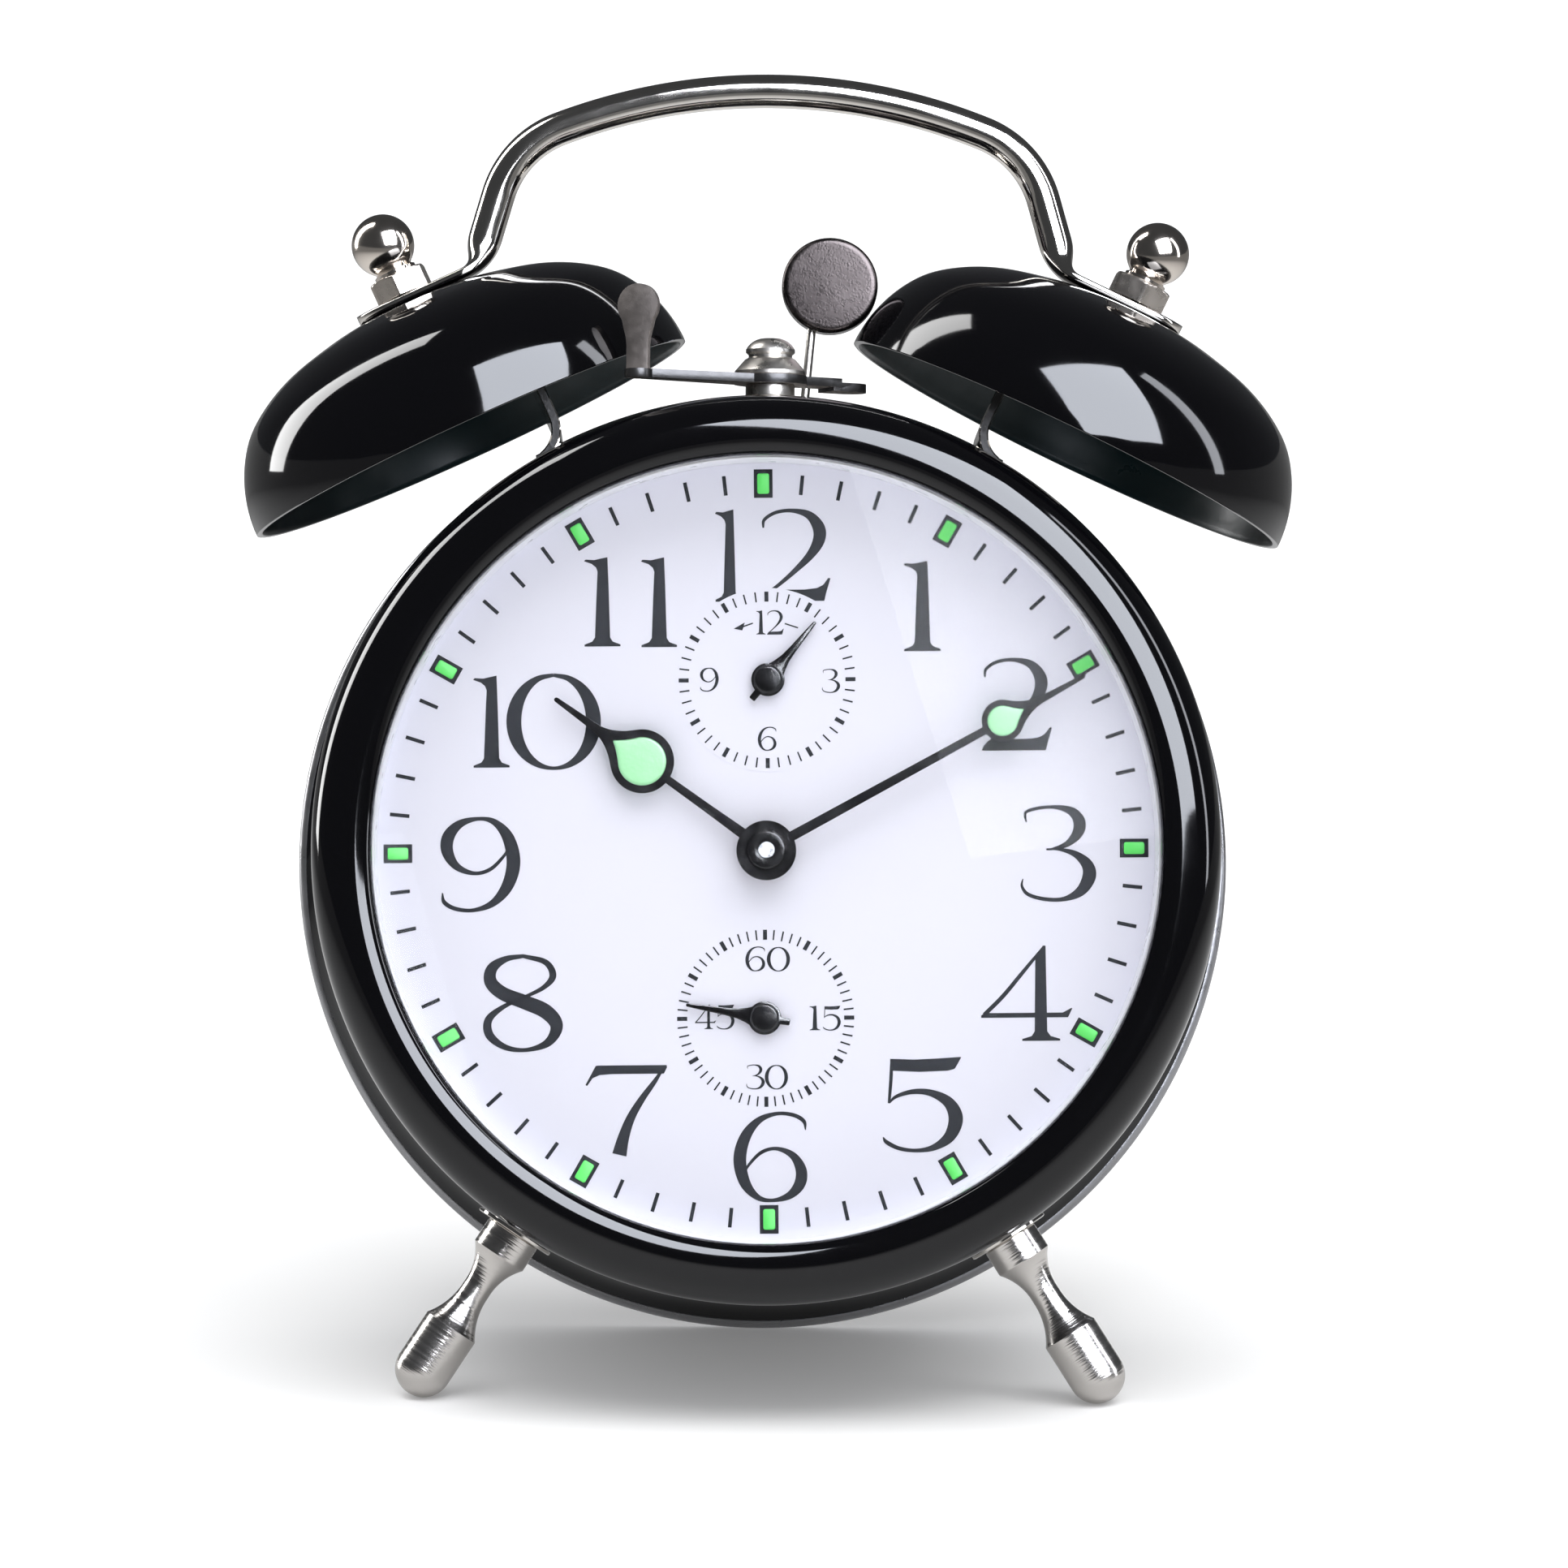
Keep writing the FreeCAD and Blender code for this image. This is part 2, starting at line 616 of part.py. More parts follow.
ring = Part.Arc(V(-ring_end[0], 0, ring_end[1]), V(0, 0, pitch_r), V(ring_end[0], 0, ring_end[1])).toShape()
y0, y1 = S.strapfront.v, S.strapback.v
right_half = thick_line(half_path, S.strapthick.v, y0, y1)
left_half = [s.mirror(V(0, 0, 0), V(1, 0, 0)) for s in right_half]
strap = union(thick_line([ring], S.strapthick.v, y0, y1) + right_half + left_half)
strap = strap.cut(Part.makeBox(12.4, 3.0, 12.0, V(-6.2, S.belly.v - 1.5, 50.0)))
strap = strap.cut(Part.makeCylinder(1.5, 12.0, V(0, S.posty.v, 50.0)))
for side in (-1, 1):
    p = bell_place(side)
    hole = Part.makeCylinder(S.studrad.v, 6.0, V(0, 0, S.padlevel.v - 3.0))
    hole.Placement = p
    strap = strap.cut(hole)
feature("bell_bracket", strap)


def pair(shape_fn):
    """The same fastener on both bell axes."""
    out = []
    for side in (-1, 1):
        s = shape_fn(side)
        s.Placement = bell_place(side)
        out.append(s)
    return Part.makeCompound(out)


pad_top = S.padlevel.v + S.strapthick.v / 2.0
pad_low = S.padlevel.v - S.strapthick.v / 2.0
crown_in = S.bellhigh.v - S.bellwall.v
tab_low = S.bellhigh.v + 0.1
tab_top = tab_low + S.tabthick.v
nut_top = tab_top + S.nuthigh.v
sr = S.studrad.v
# stud: headed under the pad, up through sleeve, bell, handle tab and nut
feature("bell_studs", pair(lambda side: union([
    Part.makeCylinder(3.4, 1.4, V(0, 0, pad_low - 1.4)),
    Part.makeCylinder(sr, nut_top + 1.2 - pad_low + 0.5, V(0, 0, pad_low - 0.5))])))
feature("bell_sleeves", pair(lambda side: Part.makeCylinder(3.4, crown_in - pad_top, V(0, 0, pad_top)).cut(
    Part.makeCylinder(sr, crown_in - pad_top + 2, V(0, 0, pad_top - 1)))))
feature("handle_hex_nuts", pair(lambda side: hex_z(S.nutflats.v, tab_top, nut_top, sr,
                                                   math.radians(90 + 8 * side))))


def finial(side):
    rb = S.ballrad.v
    cb = S.balllevel.v
    ball = Part.makeSphere(rb, V(0, 0, cb))
    s = union([Part.makeCylinder(2.75, 0.75, V(0, 0, nut_top)),
               Part.makeCylinder(2.35, cb - nut_top - 1.0, V(0, 0, nut_top)), ball])
    return s.cut(Part.makeCylinder(sr, 1.2, V(0, 0, nut_top)))


feature("ball_finials", pair(finial))

# ================================================================= handle
rt = S.tubedia.v / 2.0
ah = math.radians(S.archhalf.v)
ls = math.radians(S.legslope.v)
AR, CR = S.archrad.v, S.cornerrad.v
cz0 = S.archtop.v - AR
A = V(AR * math.sin(ah), 0, cz0 + AR * math.cos(ah))
C2 = A - V(math.sin(ah), 0, math.cos(ah)) * CR
B = C2 + V(math.sin(ls), 0, math.cos(ls)) * CR
am = (ah + ls) / 2
M = C2 + V(math.sin(am), 0, math.cos(am)) * CR
leg_dir = V(math.cos(ls), 0, -math.sin(ls))
L = B + leg_dir * 5.6
mir = lambda p: V(-p.x, p.y, p.z)
path = Part.Wire([
    Part.LineSegment(mir(L), mir(B)).toShape(),
    Part.Arc(mir(B), mir(M), mir(A)).toShape(),
    Part.Arc(mir(A), V(0, 0, S.archtop.v), A).toShape(),
    Part.Arc(A, M, B).toShape(),
    Part.LineSegment(B, L).toShape()])
prof = Part.Wire([Part.Circle(mir(L), V(leg_dir.x, 0, -leg_dir.z), rt).toShape()])
tube = path.makePipeShell([prof], True, True)
tab_mid = (tab_low + tab_top) / 2.0


def handle_end(side):
    """Flattened end: from the round leg to a flat drilled tab on the bell."""
    lo = on_bell(-8.6, tab_mid)
    low_c = V(lo[0], 0, lo[1])
    flat_n = V(lat[0], 0, lat[1])
    # round section at the end of the leg, oval below it, flat at the tab
    w0 = Part.Wire([Part.Circle(L, leg_dir, rt).toShape()])
    mid_dir = (leg_dir + flat_n).normalize()
    mc = (L + low_c) * 0.5 + V(-0.35, 0, -0.75)
    el1 = Part.Ellipse(mc + V(0, 3.0, 0), mc + mid_dir.cross(V(0, 1, 0)).normalize() * 1.35, mc)
    el2 = Part.Ellipse(low_c + V(0, S.tabwide.v / 2, 0),
                       low_c + flat_n.cross(V(0, 1, 0)).normalize() * (S.tabthick.v / 2), low_c)
    loft = Part.makeLoft([w0, Part.Wire([el1.toShape()]), Part.Wire([el2.toShape()])], True, False)
    hw = S.tabwide.v / 2
    ys = S.belly.v
    # tab: a stadium square to the bell axis, in the bell's own axes
    s0, s1 = -8.6, 6.9 - hw
    tab = Part.makeBox(s1 - s0, 2 * hw, S.tabthick.v, V(s0, -hw, tab_low))
    tab = tab.fuse(Part.makeCylinder(hw, S.tabthick.v, V(s1, 0, tab_low)))
    tab = tab.cut(Part.makeCylinder(S.studrad.v, 6, V(0, 0, tab_low - 2)))
    tab.Placement = FreeCAD.Placement(V(S.bellx.v, 0, S.bellz.v), FreeCAD.Rotation(V(0, 1, 0), S.belltilt.v))
    both = loft.fuse(tab)
    if side < 0:
        both = both.mirror(V(0, 0, 0), V(1, 0, 0))
    return both


handle = tube.fuse(handle_end(1)).fuse(handle_end(-1))
handle.translate(V(0, S.belly.v, 0))
feature("carry_handle", handle.removeSplitter())

# ================================================================= feet
FA = S.footangle.v
ft, fe = S.foottop, S.foottip


def foot_place(side):
    # local +Z runs outward along the leg
    a = math.radians(FA)
    d = V(side * math.sin(a), 0, -math.cos(a))
    return FreeCAD.Placement(V(0, S.footy.v, 0), FreeCAD.Rotation(V(0, 0, 1), d))


for side, name in ((-1, "left_foot"), (1, "right_foot")):
    turned(name, (0, 53.4), [
        (1.45, 53.4), (1.45, ft), (S.footrad, ft), (S.footrad, ft + 3.4),
        (S.waistrad + 0.25, ft + 6.6, S.waistrad + 0.1, ft + 8.6),
        (S.waistrad + 0.35, ft + 11.0, S.footrad, ft + 14.2),
        (S.footrad, fe - S.footrad),
        (S.footrad * 0.70711, fe - S.footrad * 0.29289, 0.3, fe - 0.0125),
        (0, fe - 0.0125)],
        role="XZ_Plane", local=foot_place(side))


def feet_pair(shape_fn):
    out = []
    for side in (-1, 1):
        s = shape_fn()
        s.Placement = foot_place(side)
        out.append(s)
    return out


feature("foot_washers", Part.makeCompound(feet_pair(
    lambda: Part.makeCylinder(5.3, 0.55, V(0, 0, ft.v - 0.55)).cut(
        Part.makeCylinder(1.5, 3, V(0, 0, ft.v - 2))))))
inner_nuts = feet_pair(lambda: hex_z(5.5, 53.2, 55.3, 1.45))
post_nut = hex_z(5.5, 53.2, 55.3, 1.45)
post_nut.translate(V(0, S.posty.v, 0))
feature("inner_nuts", Part.makeCompound(inner_nuts + [post_nut]))

# ================================================================= stop lever
lt = S.leverlow + S.leverthick
turned("lever_pivot_screw", (0, 53.4), [
    (1.45, 53.4), (1.45, lt), (S.coneflare, lt), (S.coneflare, lt + 0.55),
    (S.postrad, lt + 2.1), (S.postrad - 0.35, lt + 2.3), (S.postrad - 0.35, lt + 2.6),
    (S.postrad, lt + 2.9), (S.postrad, lt + 3.3),
    (S.postrad * 0.78, lt + 4.25, 0.3, S.posttop), (0, S.posttop)],
    role="XZ_Plane", local=FreeCAD.Placement(V(0, S.posty.v, 0), FreeCAD.Rotation()))
strap_top = S.strapin + S.strapthick
turned("lever_spacer", (1.5, strap_top), [
    (S.postrad, strap_top), (S.postrad, S.leverlow), (1.5, S.leverlow)],
    role="XZ_Plane", local=FreeCAD.Placement(V(0, S.posty.v, 0), FreeCAD.Rotation()))

# the lever is one stamping: thumb paddle, arm, hub and joggled tail
lz, lth = S.leverlow.v, S.leverthick.v
px, py = S.paddlex.v, S.paddley.v
pv = V(0, S.posty.v, 0)
arm_vec = V(px, py - S.posty.v, 0)
arm_dir = V(arm_vec).normalize()
side_dir = V(-arm_dir.y, arm_dir.x, 0)


def plan(pts, z0, z1):
    poly = [V(p.x, p.y, z0) for p in pts]
    return Part.Face(Part.makePolygon(poly + [poly[0]])).extrude(V(0, 0, z1 - z0))


far = pv + arm_vec
tail_dir = arm_dir * -1.0
arm = plan([pv + side_dir * 3.0, far + side_dir * 1.55 - arm_dir * 1.2,
            far - side_dir * 1.55 - arm_dir * 1.2, pv - side_dir * 3.0], lz, lz + lth)
hub = Part.makeCylinder(4.6, lth, V(pv.x, pv.y, lz))
near = plan([pv + side_dir * 2.3, pv + side_dir * 2.1 + tail_dir * 9.2,
             pv - side_dir * 2.1 + tail_dir * 9.2, pv - side_dir * 2.3], lz, lz + lth)
tail_in = pv + tail_dir * 8.0
tail_out = pv + tail_dir * 11.4
tail = plan([tail_in + side_dir * 2.1, tail_out + side_dir * 2.1,
             tail_out - side_dir * 2.1, tail_in - side_dir * 2.1], lz - 0.5, lz + 0.6)
tail = tail.fuse(Part.makeCylinder(2.1, 1.1, V(tail_out.x, tail_out.y, lz - 0.5)))
# paddle: keyhole outline standing on the arm's end
turn = math.radians(25.0)
face_dir = V(-math.sin(turn), -math.cos(turn), 0)
across = V(math.cos(turn), -math.sin(turn), 0)
zb, zc, hr, nr = lz, 68.15, 2.75, 1.45
pw, steps = [], 28
a0 = math.asin(nr / hr) + 0.35
pw.append((-nr, zb))
pw.append((-nr, zc - hr - 2.2))
pw.append((-nr - 0.12, zc - hr - 1.2))
pw.append((-nr - 0.42, zc - hr - 0.1))
for i in range(steps + 1):
    a = -math.pi / 2 - a0 - (2 * math.pi - 2 * a0) * i / steps
    pw.append((hr * math.cos(a), zc + hr * math.sin(a)))
pw.append((nr + 0.42, zc - hr - 0.1))
pw.append((nr + 0.12, zc - hr - 1.2))
pw.append((nr, zc - hr - 2.2))
pw.append((nr, zb))
base = far - face_dir * 0.45
ring_pts = [V(base.x + across.x * u, base.y + across.y * u, z) for u, z in pw]
paddle = Part.Face(Part.makePolygon(ring_pts + [ring_pts[0]])).extrude(face_dir * 0.9)
foot_blk = Part.makeCylinder(1.7, lth, V(far.x, far.y, lz))
lever = union([arm, hub, near, tail, paddle, foot_blk])
lever = lever.cut(Part.makeCylinder(1.5, 6, V(0, S.posty.v, lz - 2)))
feature("stop_lever", lever)

# ================================================================= hammer
ap = V(S.arborx.v, S.belly.v, S.arborz.v)
rod_lean = math.radians(5.0)
rd = V(math.sin(rod_lean), 0, math.cos(rod_lean))
rr = S.rodrad.v
head_c = V(S.hammerx.v, S.belly.v, S.hammerz.v)
ht = S.hammerthick.v
head = Part.makeCylinder(S.hammerrad.v, ht, head_c - V(0, ht / 2, 0), V(0, 1, 0))
head = head.makeFillet(0.9, [e for e in head.Edges if isinstance(e.Curve, Part.Circle)])
rod_end = 35.4
rod_bore = Part.makeCylinder(rr, rod_end - 20.0, ap + rd * 20.0, rd)
feature("hammer_head", head.cut(rod_bore))
feature("hammer_rod", Part.makeCylinder(rr, rod_end - 1.0, ap + rd * 1.0, rd))
# movement constants
pf0 = S.platefront.v
pf1 = pf0 + S.platethick.v
pb0 = S.plateback.v
pb1 = pb0 + S.platethick.v
STAR = (-19.0 + 18.0 * math.cos(math.radians(62.0)), 8.0 + 18.0 * math.sin(math.radians(62.0)))
hx, hz = S.arborx.v, S.arborz.v
to_star = math.atan2(STAR[1] - hz, STAR[0] - hx)
anchor_pts = []
for a, r in ((-26, 9.3), (-19, 9.3), (-15, 3.2), (15, 3.2), (19, 9.3), (26, 9.3), (38, 2.4), (180, 2.0), (-38, 2.4)):
    anchor_pts.append((hx + r * math.cos(to_star + math.radians(a)), hz + r * math.sin(to_star + math.radians(a))))
harb = union([cyl(hx, hz, 0.9, pf0, pb1), cyl(hx, hz, 2.4, S.belly.v - 2.2, S.belly.v + 2.2),
              slab(anchor_pts, 11.0, 11.8)])
feature("hammer_arbor", harb.cut(Part.makeCylinder(rr, 4, ap + rd * 1.0, rd)))

# ================================================================= movement
CW, TP = 64, 8            # centre wheel, third pinion
TW, FP = 60, 8            # third wheel, fourth pinion
FW, EP = 56, 7            # fourth wheel, escape pinion
GW, CP = 72, 12           # great wheel, centre pinion
M1, M2, M3, M0 = 0.40, 0.36, 0.34, 0.45
third = (-8.2794, -11.7824)
d1 = M1 * (CW + TP) / 2.0
d2 = M2 * (TW + FP) / 2.0
# third arbor where the two centre distances meet, left of the dial's middle
sz = S.secondz.v
zt = (d2 * d2 - d1 * d1 - sz * sz) / (-2.0 * sz) * 1.0
xt = -math.sqrt(d1 * d1 - zt * zt)
third = (xt, zt)
fourth = (0.0, sz)
ea = math.radians(-26.0)
d3 = M3 * (FW + EP) / 2.0
escape = (fourth[0] + d3 * math.cos(ea), fourth[1] + d3 * math.sin(ea))
ba = math.atan2(BALANCE[1] - escape[1], BALANCE[0] - escape[0])
pallet = (escape[0] + 7.2 * math.cos(ba), escape[1] + 7.2 * math.sin(ba))
d0 = M0 * (GW + CP) / 2.0
ga = math.atan2(S.timez.v, S.timex.v)
great = (d0 * math.cos(ga), d0 * math.sin(ga))
alarm_great = (S.bellworkx.v, S.bellworkz.v)
MM, MC = 0.5522, 0.355     # motion work modules
minute_dist = MC * (10 + 60) / 2.0
ma = math.radians(-30.0)
minute_c = (minute_dist * math.cos(ma), minute_dist * math.sin(ma))
f = S.fine.v


def plate_draw(sk, holes):
    circle(sk, 0, 0, S.platerad)
    for x, z, r in holes:
        circle(sk, x, z if abs(z) > 1e-9 or abs(x) > 1e-9 else 1e-12, r)


common = [(third[0], third[1], 0.6 + f), (fourth[0], fourth[1], 0.6 + f),
          (escape[0], escape[1], 0.5 + f), (pallet[0], pallet[1], 0.5 + f),
          (BALANCE[0], BALANCE[1], 0.5 + f), (STAR[0], STAR[1], 0.8 + f),
          (hx, hz, 0.9 + f), (0.0, 21.3, 0.8 + f)]
front_holes = common + [(0.0, 0.0, 1.0 + f), (great[0], great[1], 1.2 + f),
                        (alarm_great[0], alarm_great[1], 1.2 + f),
                        (minute_c[0], minute_c[1], 0.6 + f)] + [(x, z, 1.2) for x, z in PILLARS]
back_holes = common + [(0.0, 0.0, 1.0 + f), (great[0], great[1], 1.6 + f),
                       (alarm_great[0], alarm_great[1], 1.6 + f)] + [(x, z, 2.0) for x, z in PILLARS]
stamped("front_plate", S.platefront, S.platefront + S.platethick, lambda sk: plate_draw(sk, front_holes))
stamped("back_plate", S.plateback, S.plateback + S.platethick, lambda sk: plate_draw(sk, back_holes))

pill, screws = [], []
for x, z in PILLARS:
    p = union([cyl(x, z, 1.2, 0.5, pf1), cyl(x, z, S.pillarrad.v, pf1, pb0), cyl(x, z, 2.0, pb0, S.covery.v)])
    pill.append(p.cut(cyl(x, z, 1.15, S.covery.v - 4.0, S.covery.v + 1)))
    cy = S.covery.v + S.coverthick.v
    s = union([cyl(x, z, 1.15, S.covery.v - 3.6, cy), cyl(x, z, 2.7, cy, cy + 1.3)])
    s = s.cut(Part.makeBox(6.0, 0.7, 0.7, V(x - 3.0, cy + 0.7, z - 0.35)))
    screws.append(s)
feature("plate_pillars", Part.makeCompound(pill))
feature("cover_screws", Part.makeCompound(screws))

# centre arbor, turned by the rear knob; the centre wheel slips on it
fused("centre_arbor", [rod_y("centre_staff", 0, 0, S.centrerad, -3.9, 50.5),
                       rod_y("clutch_collar", 0, 0, 1.9, 19.0, 20.2)])
cann = union([cyl(0, 0, 1.3, -2.6, 5.0),
              pinion(0, 0, 15, MM, ma + math.pi / 15, 5.0, 6.4, share=0.42, cap=0.8, ded=1.3)])
feature("cannon_pinion", cann.cut(cyl(0, 0, S.centrerad.v, -4, 8)))
mw = union([wheel(minute_c[0], minute_c[1], 30, MM, 15, ma + math.pi, 5.3, 6.1, cap=1.0, windows=4),
            pinion(minute_c[0], minute_c[1], 10, MC, ma + math.pi, 3.2, 5.3, share=0.38, cap=0.75),
            cyl(minute_c[0], minute_c[1], 0.6, 2.6, 8.0)])
feature("minute_wheel", mw)
# hour wheel: one space of it faces the minute pinion's tooth
hp = ma + math.pi / 60
hw_ = wheel(0, 0, 60, MC, 10, hp, 3.5, 4.3, share=0.43, cap=1.0, windows=5)
hw_ = union([hw_, cyl(0, 0, 2.1, -1.5, 3.5), cyl(0, 0, 3.2, 2.6, 4.9)])
feature("hour_wheel", hw_.cut(cyl(0, 0, 1.3 + f, -5, 8)))
# alarm wheel: same count, driven by the hour wheel straight above it
pitch60 = 2 * math.pi / 60
off = (math.pi / 2 - hp) % pitch60            # hour wheel tooth phase seen at the line upward
ap_phase = -math.pi / 2 + pitch60 / 2 + off
aw = wheel(0, S.alarmz.v, 60, MC, 60, ap_phase, 3.5, 4.3, share=0.43, cap=0.85, windows=5)
aw = union([aw, cyl(0, S.alarmz.v, 2.0, 2.8, 4.5)])
feature("alarm_wheel", aw.cut(cyl(0, S.alarmz.v, 0.8 + f, 0, 8)))
fused("alarm_set_arbor", [rod_y("alarm_staff", 0, S.alarmz, 0.8, -1.25, 50.5),
                          rod_y("alarm_collar", 0, S.alarmz, 1.8, 5.2, 6.4)])
# flat release spring riveted to the front plate, its free end by the alarm wheel
feature("alarm_release_spring", union([
    slab([(-21.5, 30.6), (-18.5, 34.6), (-2.6, 25.0), (-2.6, 22.6), (-4.4, 22.6)], 4.75, 5.0),
    cyl(-18.8, 31.6, 1.3, 5.0, 7.0)]))

# going train
feature("centre_wheel", union([
    wheel(0, 0, CW, M1, TP, math.atan2(third[1], third[0]), 10.5, 11.3),
    pinion(0, 0, CP, M0, ga + math.pi / CP, 14.3, 18.6, share=0.40, cap=0.8, ded=1.6),
    cyl(0, 0, 1.9, 11.3, 14.3)]).cut(cyl(0, 0, S.centrerad.v + f, 0, 40)))
a13 = math.atan2(third[1], third[0])
a34 = math.atan2(fourth[1] - third[1], fourth[0] - third[0])
feature("third_wheel", union([
    pinion(third[0], third[1], TP, M1, a13 + math.pi + math.pi / TP, 9.4, 12.4),
    wheel(third[0], third[1], TW, M2, FP, a34, 13.0, 13.8),
    cyl(third[0], third[1], 0.6, pf0 + 0.1, pb1 - 0.1), cyl(third[0], third[1], 0.9, 12.4, 13.0)]))
feature("fourth_wheel", union([
    pinion(fourth[0], fourth[1], FP, M2, a34 + math.pi + math.pi / FP, 11.9, 14.9),
    wheel(fourth[0], fourth[1], FW, M3, EP, ea, 20.0, 20.8),
    cyl(fourth[0], fourth[1], 0.6, -1.25, pb1 - 0.1), cyl(fourth[0], fourth[1], 1.2, 20.8, 22.2)]))
teeth = []
for k in range(15):
    a = ea + 2 * math.pi * k / 15
    teeth += [(5.2, a), (5.05, a + 0.03), (3.9, a + 0.05), (3.7, a + 0.24), (3.9, a + 0.38)]
ew_pts = [(escape[0] + r * math.cos(a), escape[1] + r * math.sin(a)) for r, a in teeth]
feature("escape_wheel", union([
    slab(ew_pts, 24.0, 24.6),
    pinion(escape[0], escape[1], EP, M3, ea + math.pi + math.pi / EP, 18.9, 21.9),
    cyl(escape[0], escape[1], 0.5, pf0 + 0.1, pb1 - 0.1), cyl(escape[0], escape[1], 1.2, 24.6, 25.4)]))


def local2(base, ang, u, v):
    return (base[0] + u * math.cos(ang) - v * math.sin(ang),
            base[1] + u * math.sin(ang) + v * math.cos(ang))


pin_a = math.radians(38.0)
pins = [local2(escape, ba, 5.78 * math.cos(s * pin_a), 5.78 * math.sin(s * pin_a)) for s in (-1, 1)]
fork_pts = [(-3.2, 4.1), (-2.2, 4.3), (-0.8, 1.2), (0.8, 0.6), (5.4, 0.45), (5.9, 1.0), (6.0, 0.95),
            (5.65, 0.3), (5.65, -0.3), (6.0, -0.95), (5.9, -1.0), (5.4, -0.45), (0.8, -0.6), (-0.8, -1.2),
            (-2.2, -4.3), (-3.2, -4.1), (-1.6, -0.8), (-1.6, 0.8)]
feature("pallet_fork", union([
    slab([local2(pallet, ba, u, v) for u, v in fork_pts], 25.7, 26.3),
    cyl(pallet[0], pallet[1], 0.5, pf0 + 0.1, pb1 - 0.1)]
    + [cyl(x, z, 0.2, 23.7, 25.7) for x, z in pins]
    + [cyl(x, z, 0.55, 25.7, 26.3) for x, z in pins]))
bx, bz = BALANCE
rim = cyl(bx, bz, 6.9, 28.0, 29.6).cut(cyl(bx, bz, 5.6, 27.0, 30.0))
spoke = Part.makeBox(11.6, 0.8, 1.5, V(-5.8, 28.3, -0.75))
spoke.rotate(V(0, 0, 0), V(0, 1, 0), 35)
spoke.translate(V(bx, 0, bz))
roll = local2(BALANCE, ba + math.pi, 1.45, 0.0)
feature("balance_wheel", union([rim, spoke, cyl(bx, bz, 0.5, pf0 + 0.1, pb1 - 0.1), cyl(bx, bz, 1.9, 27.0, 27.6),
                                cyl(bx, bz, 1.1, 27.6, 28.4), cyl(roll[0], roll[1], 0.2, 25.6, 27.2)]))
feature("hairspring", spiral(bx, bz, 1.0, 5.4, 6, 0.14, 30.6, 31.0, start=0.6, per=20))
feature("regulator_lever", union([
    cyl(bx, bz, 2.2, 35.4, 36.0).cut(cyl(bx, bz, 1.4, 30, 40)),
    slab([local2(BALANCE, math.radians(-25), u, v) for u, v in ((1.7, 0.6), (9.2, 0.5), (9.2, -0.5), (1.7, -0.6))], 35.4, 36.0),
    cyl(bx + 9.5 * math.cos(math.radians(-25)), bz + 9.5 * math.sin(math.radians(-25)), 0.8, 35.4, 49.4)]))


def ratchet(cx, cz, y0, y1):
    pts = []
    for k in range(12):
        a = math.pi * k / 6
        pts += [(5.5, a), (5.42, a + 0.05), (4.4, a + 0.46)]
    return slab([(cx + r * math.cos(a), cz + r * math.sin(a)) for r, a in pts], y0, y1)


def winding_set(tag, c, ph, bore_turn):
    cx, cz = c
    gw = wheel(cx, cz, GW, M0, CP, ph, 15.5, 17.0, windows=5).cut(cyl(cx, cz, 2.0 + f, 10, 25))
    feature(tag + "_great_wheel", gw)
    arb = union([cyl(cx, cz, 1.2, pf0 + 0.1, pf1 + 0.2), cyl(cx, cz, 2.0, pf1 + 0.2, pb0 - 0.2),
                 cyl(cx, cz, 1.6, pb0 - 0.2, 52.5), ratchet(cx, cz, 13.8, 15.2)])
    feature(tag + "_winding_arbor", arb)
    ca = bore_turn
    pv2 = (cx + 10.4 * math.cos(ca), cz + 10.4 * math.sin(ca))
    tip = (cx + 5.62 * math.cos(ca - 0.52), cz + 5.62 * math.sin(ca - 0.52))
    dxy = (tip[0] - pv2[0], tip[1] - pv2[1])
    ln = math.hypot(dxy[0], dxy[1])
    ang = math.atan2(dxy[1], dxy[0])
    click = union([slab([local2(pv2, ang, u, v) for u, v in
                         ((0, 1.2), (ln * 0.6, 0.75), (ln, 0.06), (ln, -0.06), (ln * 0.6, -0.55), (0, -1.2))], 14.0, 15.0),
                   cyl(pv2[0], pv2[1], 1.3, 14.0, 15.0), cyl(pv2[0], pv2[1], 0.7, 13.5, 15.5)])
    feature(tag + "_click", click)
    outer = 15.0 if tag == "time" else 14.0
    feature(tag + "_mainspring", spiral(cx, cz, 2.7, outer, 8, 0.75, S.springlow.v, S.springhigh.v,
                                        start=ca, per=20))
    # butterfly winding key
    k0 = S.keystart.v
    k1 = k0 + S.keylong.v
    kw = S.keywide.v / 2.0
    wing = Part.makeBox(2 * kw - 8.6, 4.6, 1.3, V(-kw + 4.3, 0, -0.65))
    lobes = [Part.makeCylinder(4.3, 1.3, V(s * (kw - 4.3), 2.3 + 2.0, -0.65), V(0, 0, 1)) for s in (-1, 1)]
    wing = union([wing] + lobes)
    wing.translate(V(0, k0 + 1.6, 0))
    # the lobes may not reach back past the hub's start
    wing = wing.common(Part.makeBox(60, 30, 4, V(-30, k0 + 0.6, -2)))
    key = Part.makeCylinder(3.3, S.keylong.v, V(0, k0, 0), V(0, 1, 0)).fuse(wing)
    key = key.cut(Part.makeCylinder(1.6, 52.5 - k0, V(0, k0, 0), V(0, 1, 0)))
    key.rotate(V(0, 0, 0), V(0, 1, 0), 20 if tag == "time" else -35)
    key.translate(V(cx, 0, cz))
    feature(tag + "_key", key.removeSplitter())


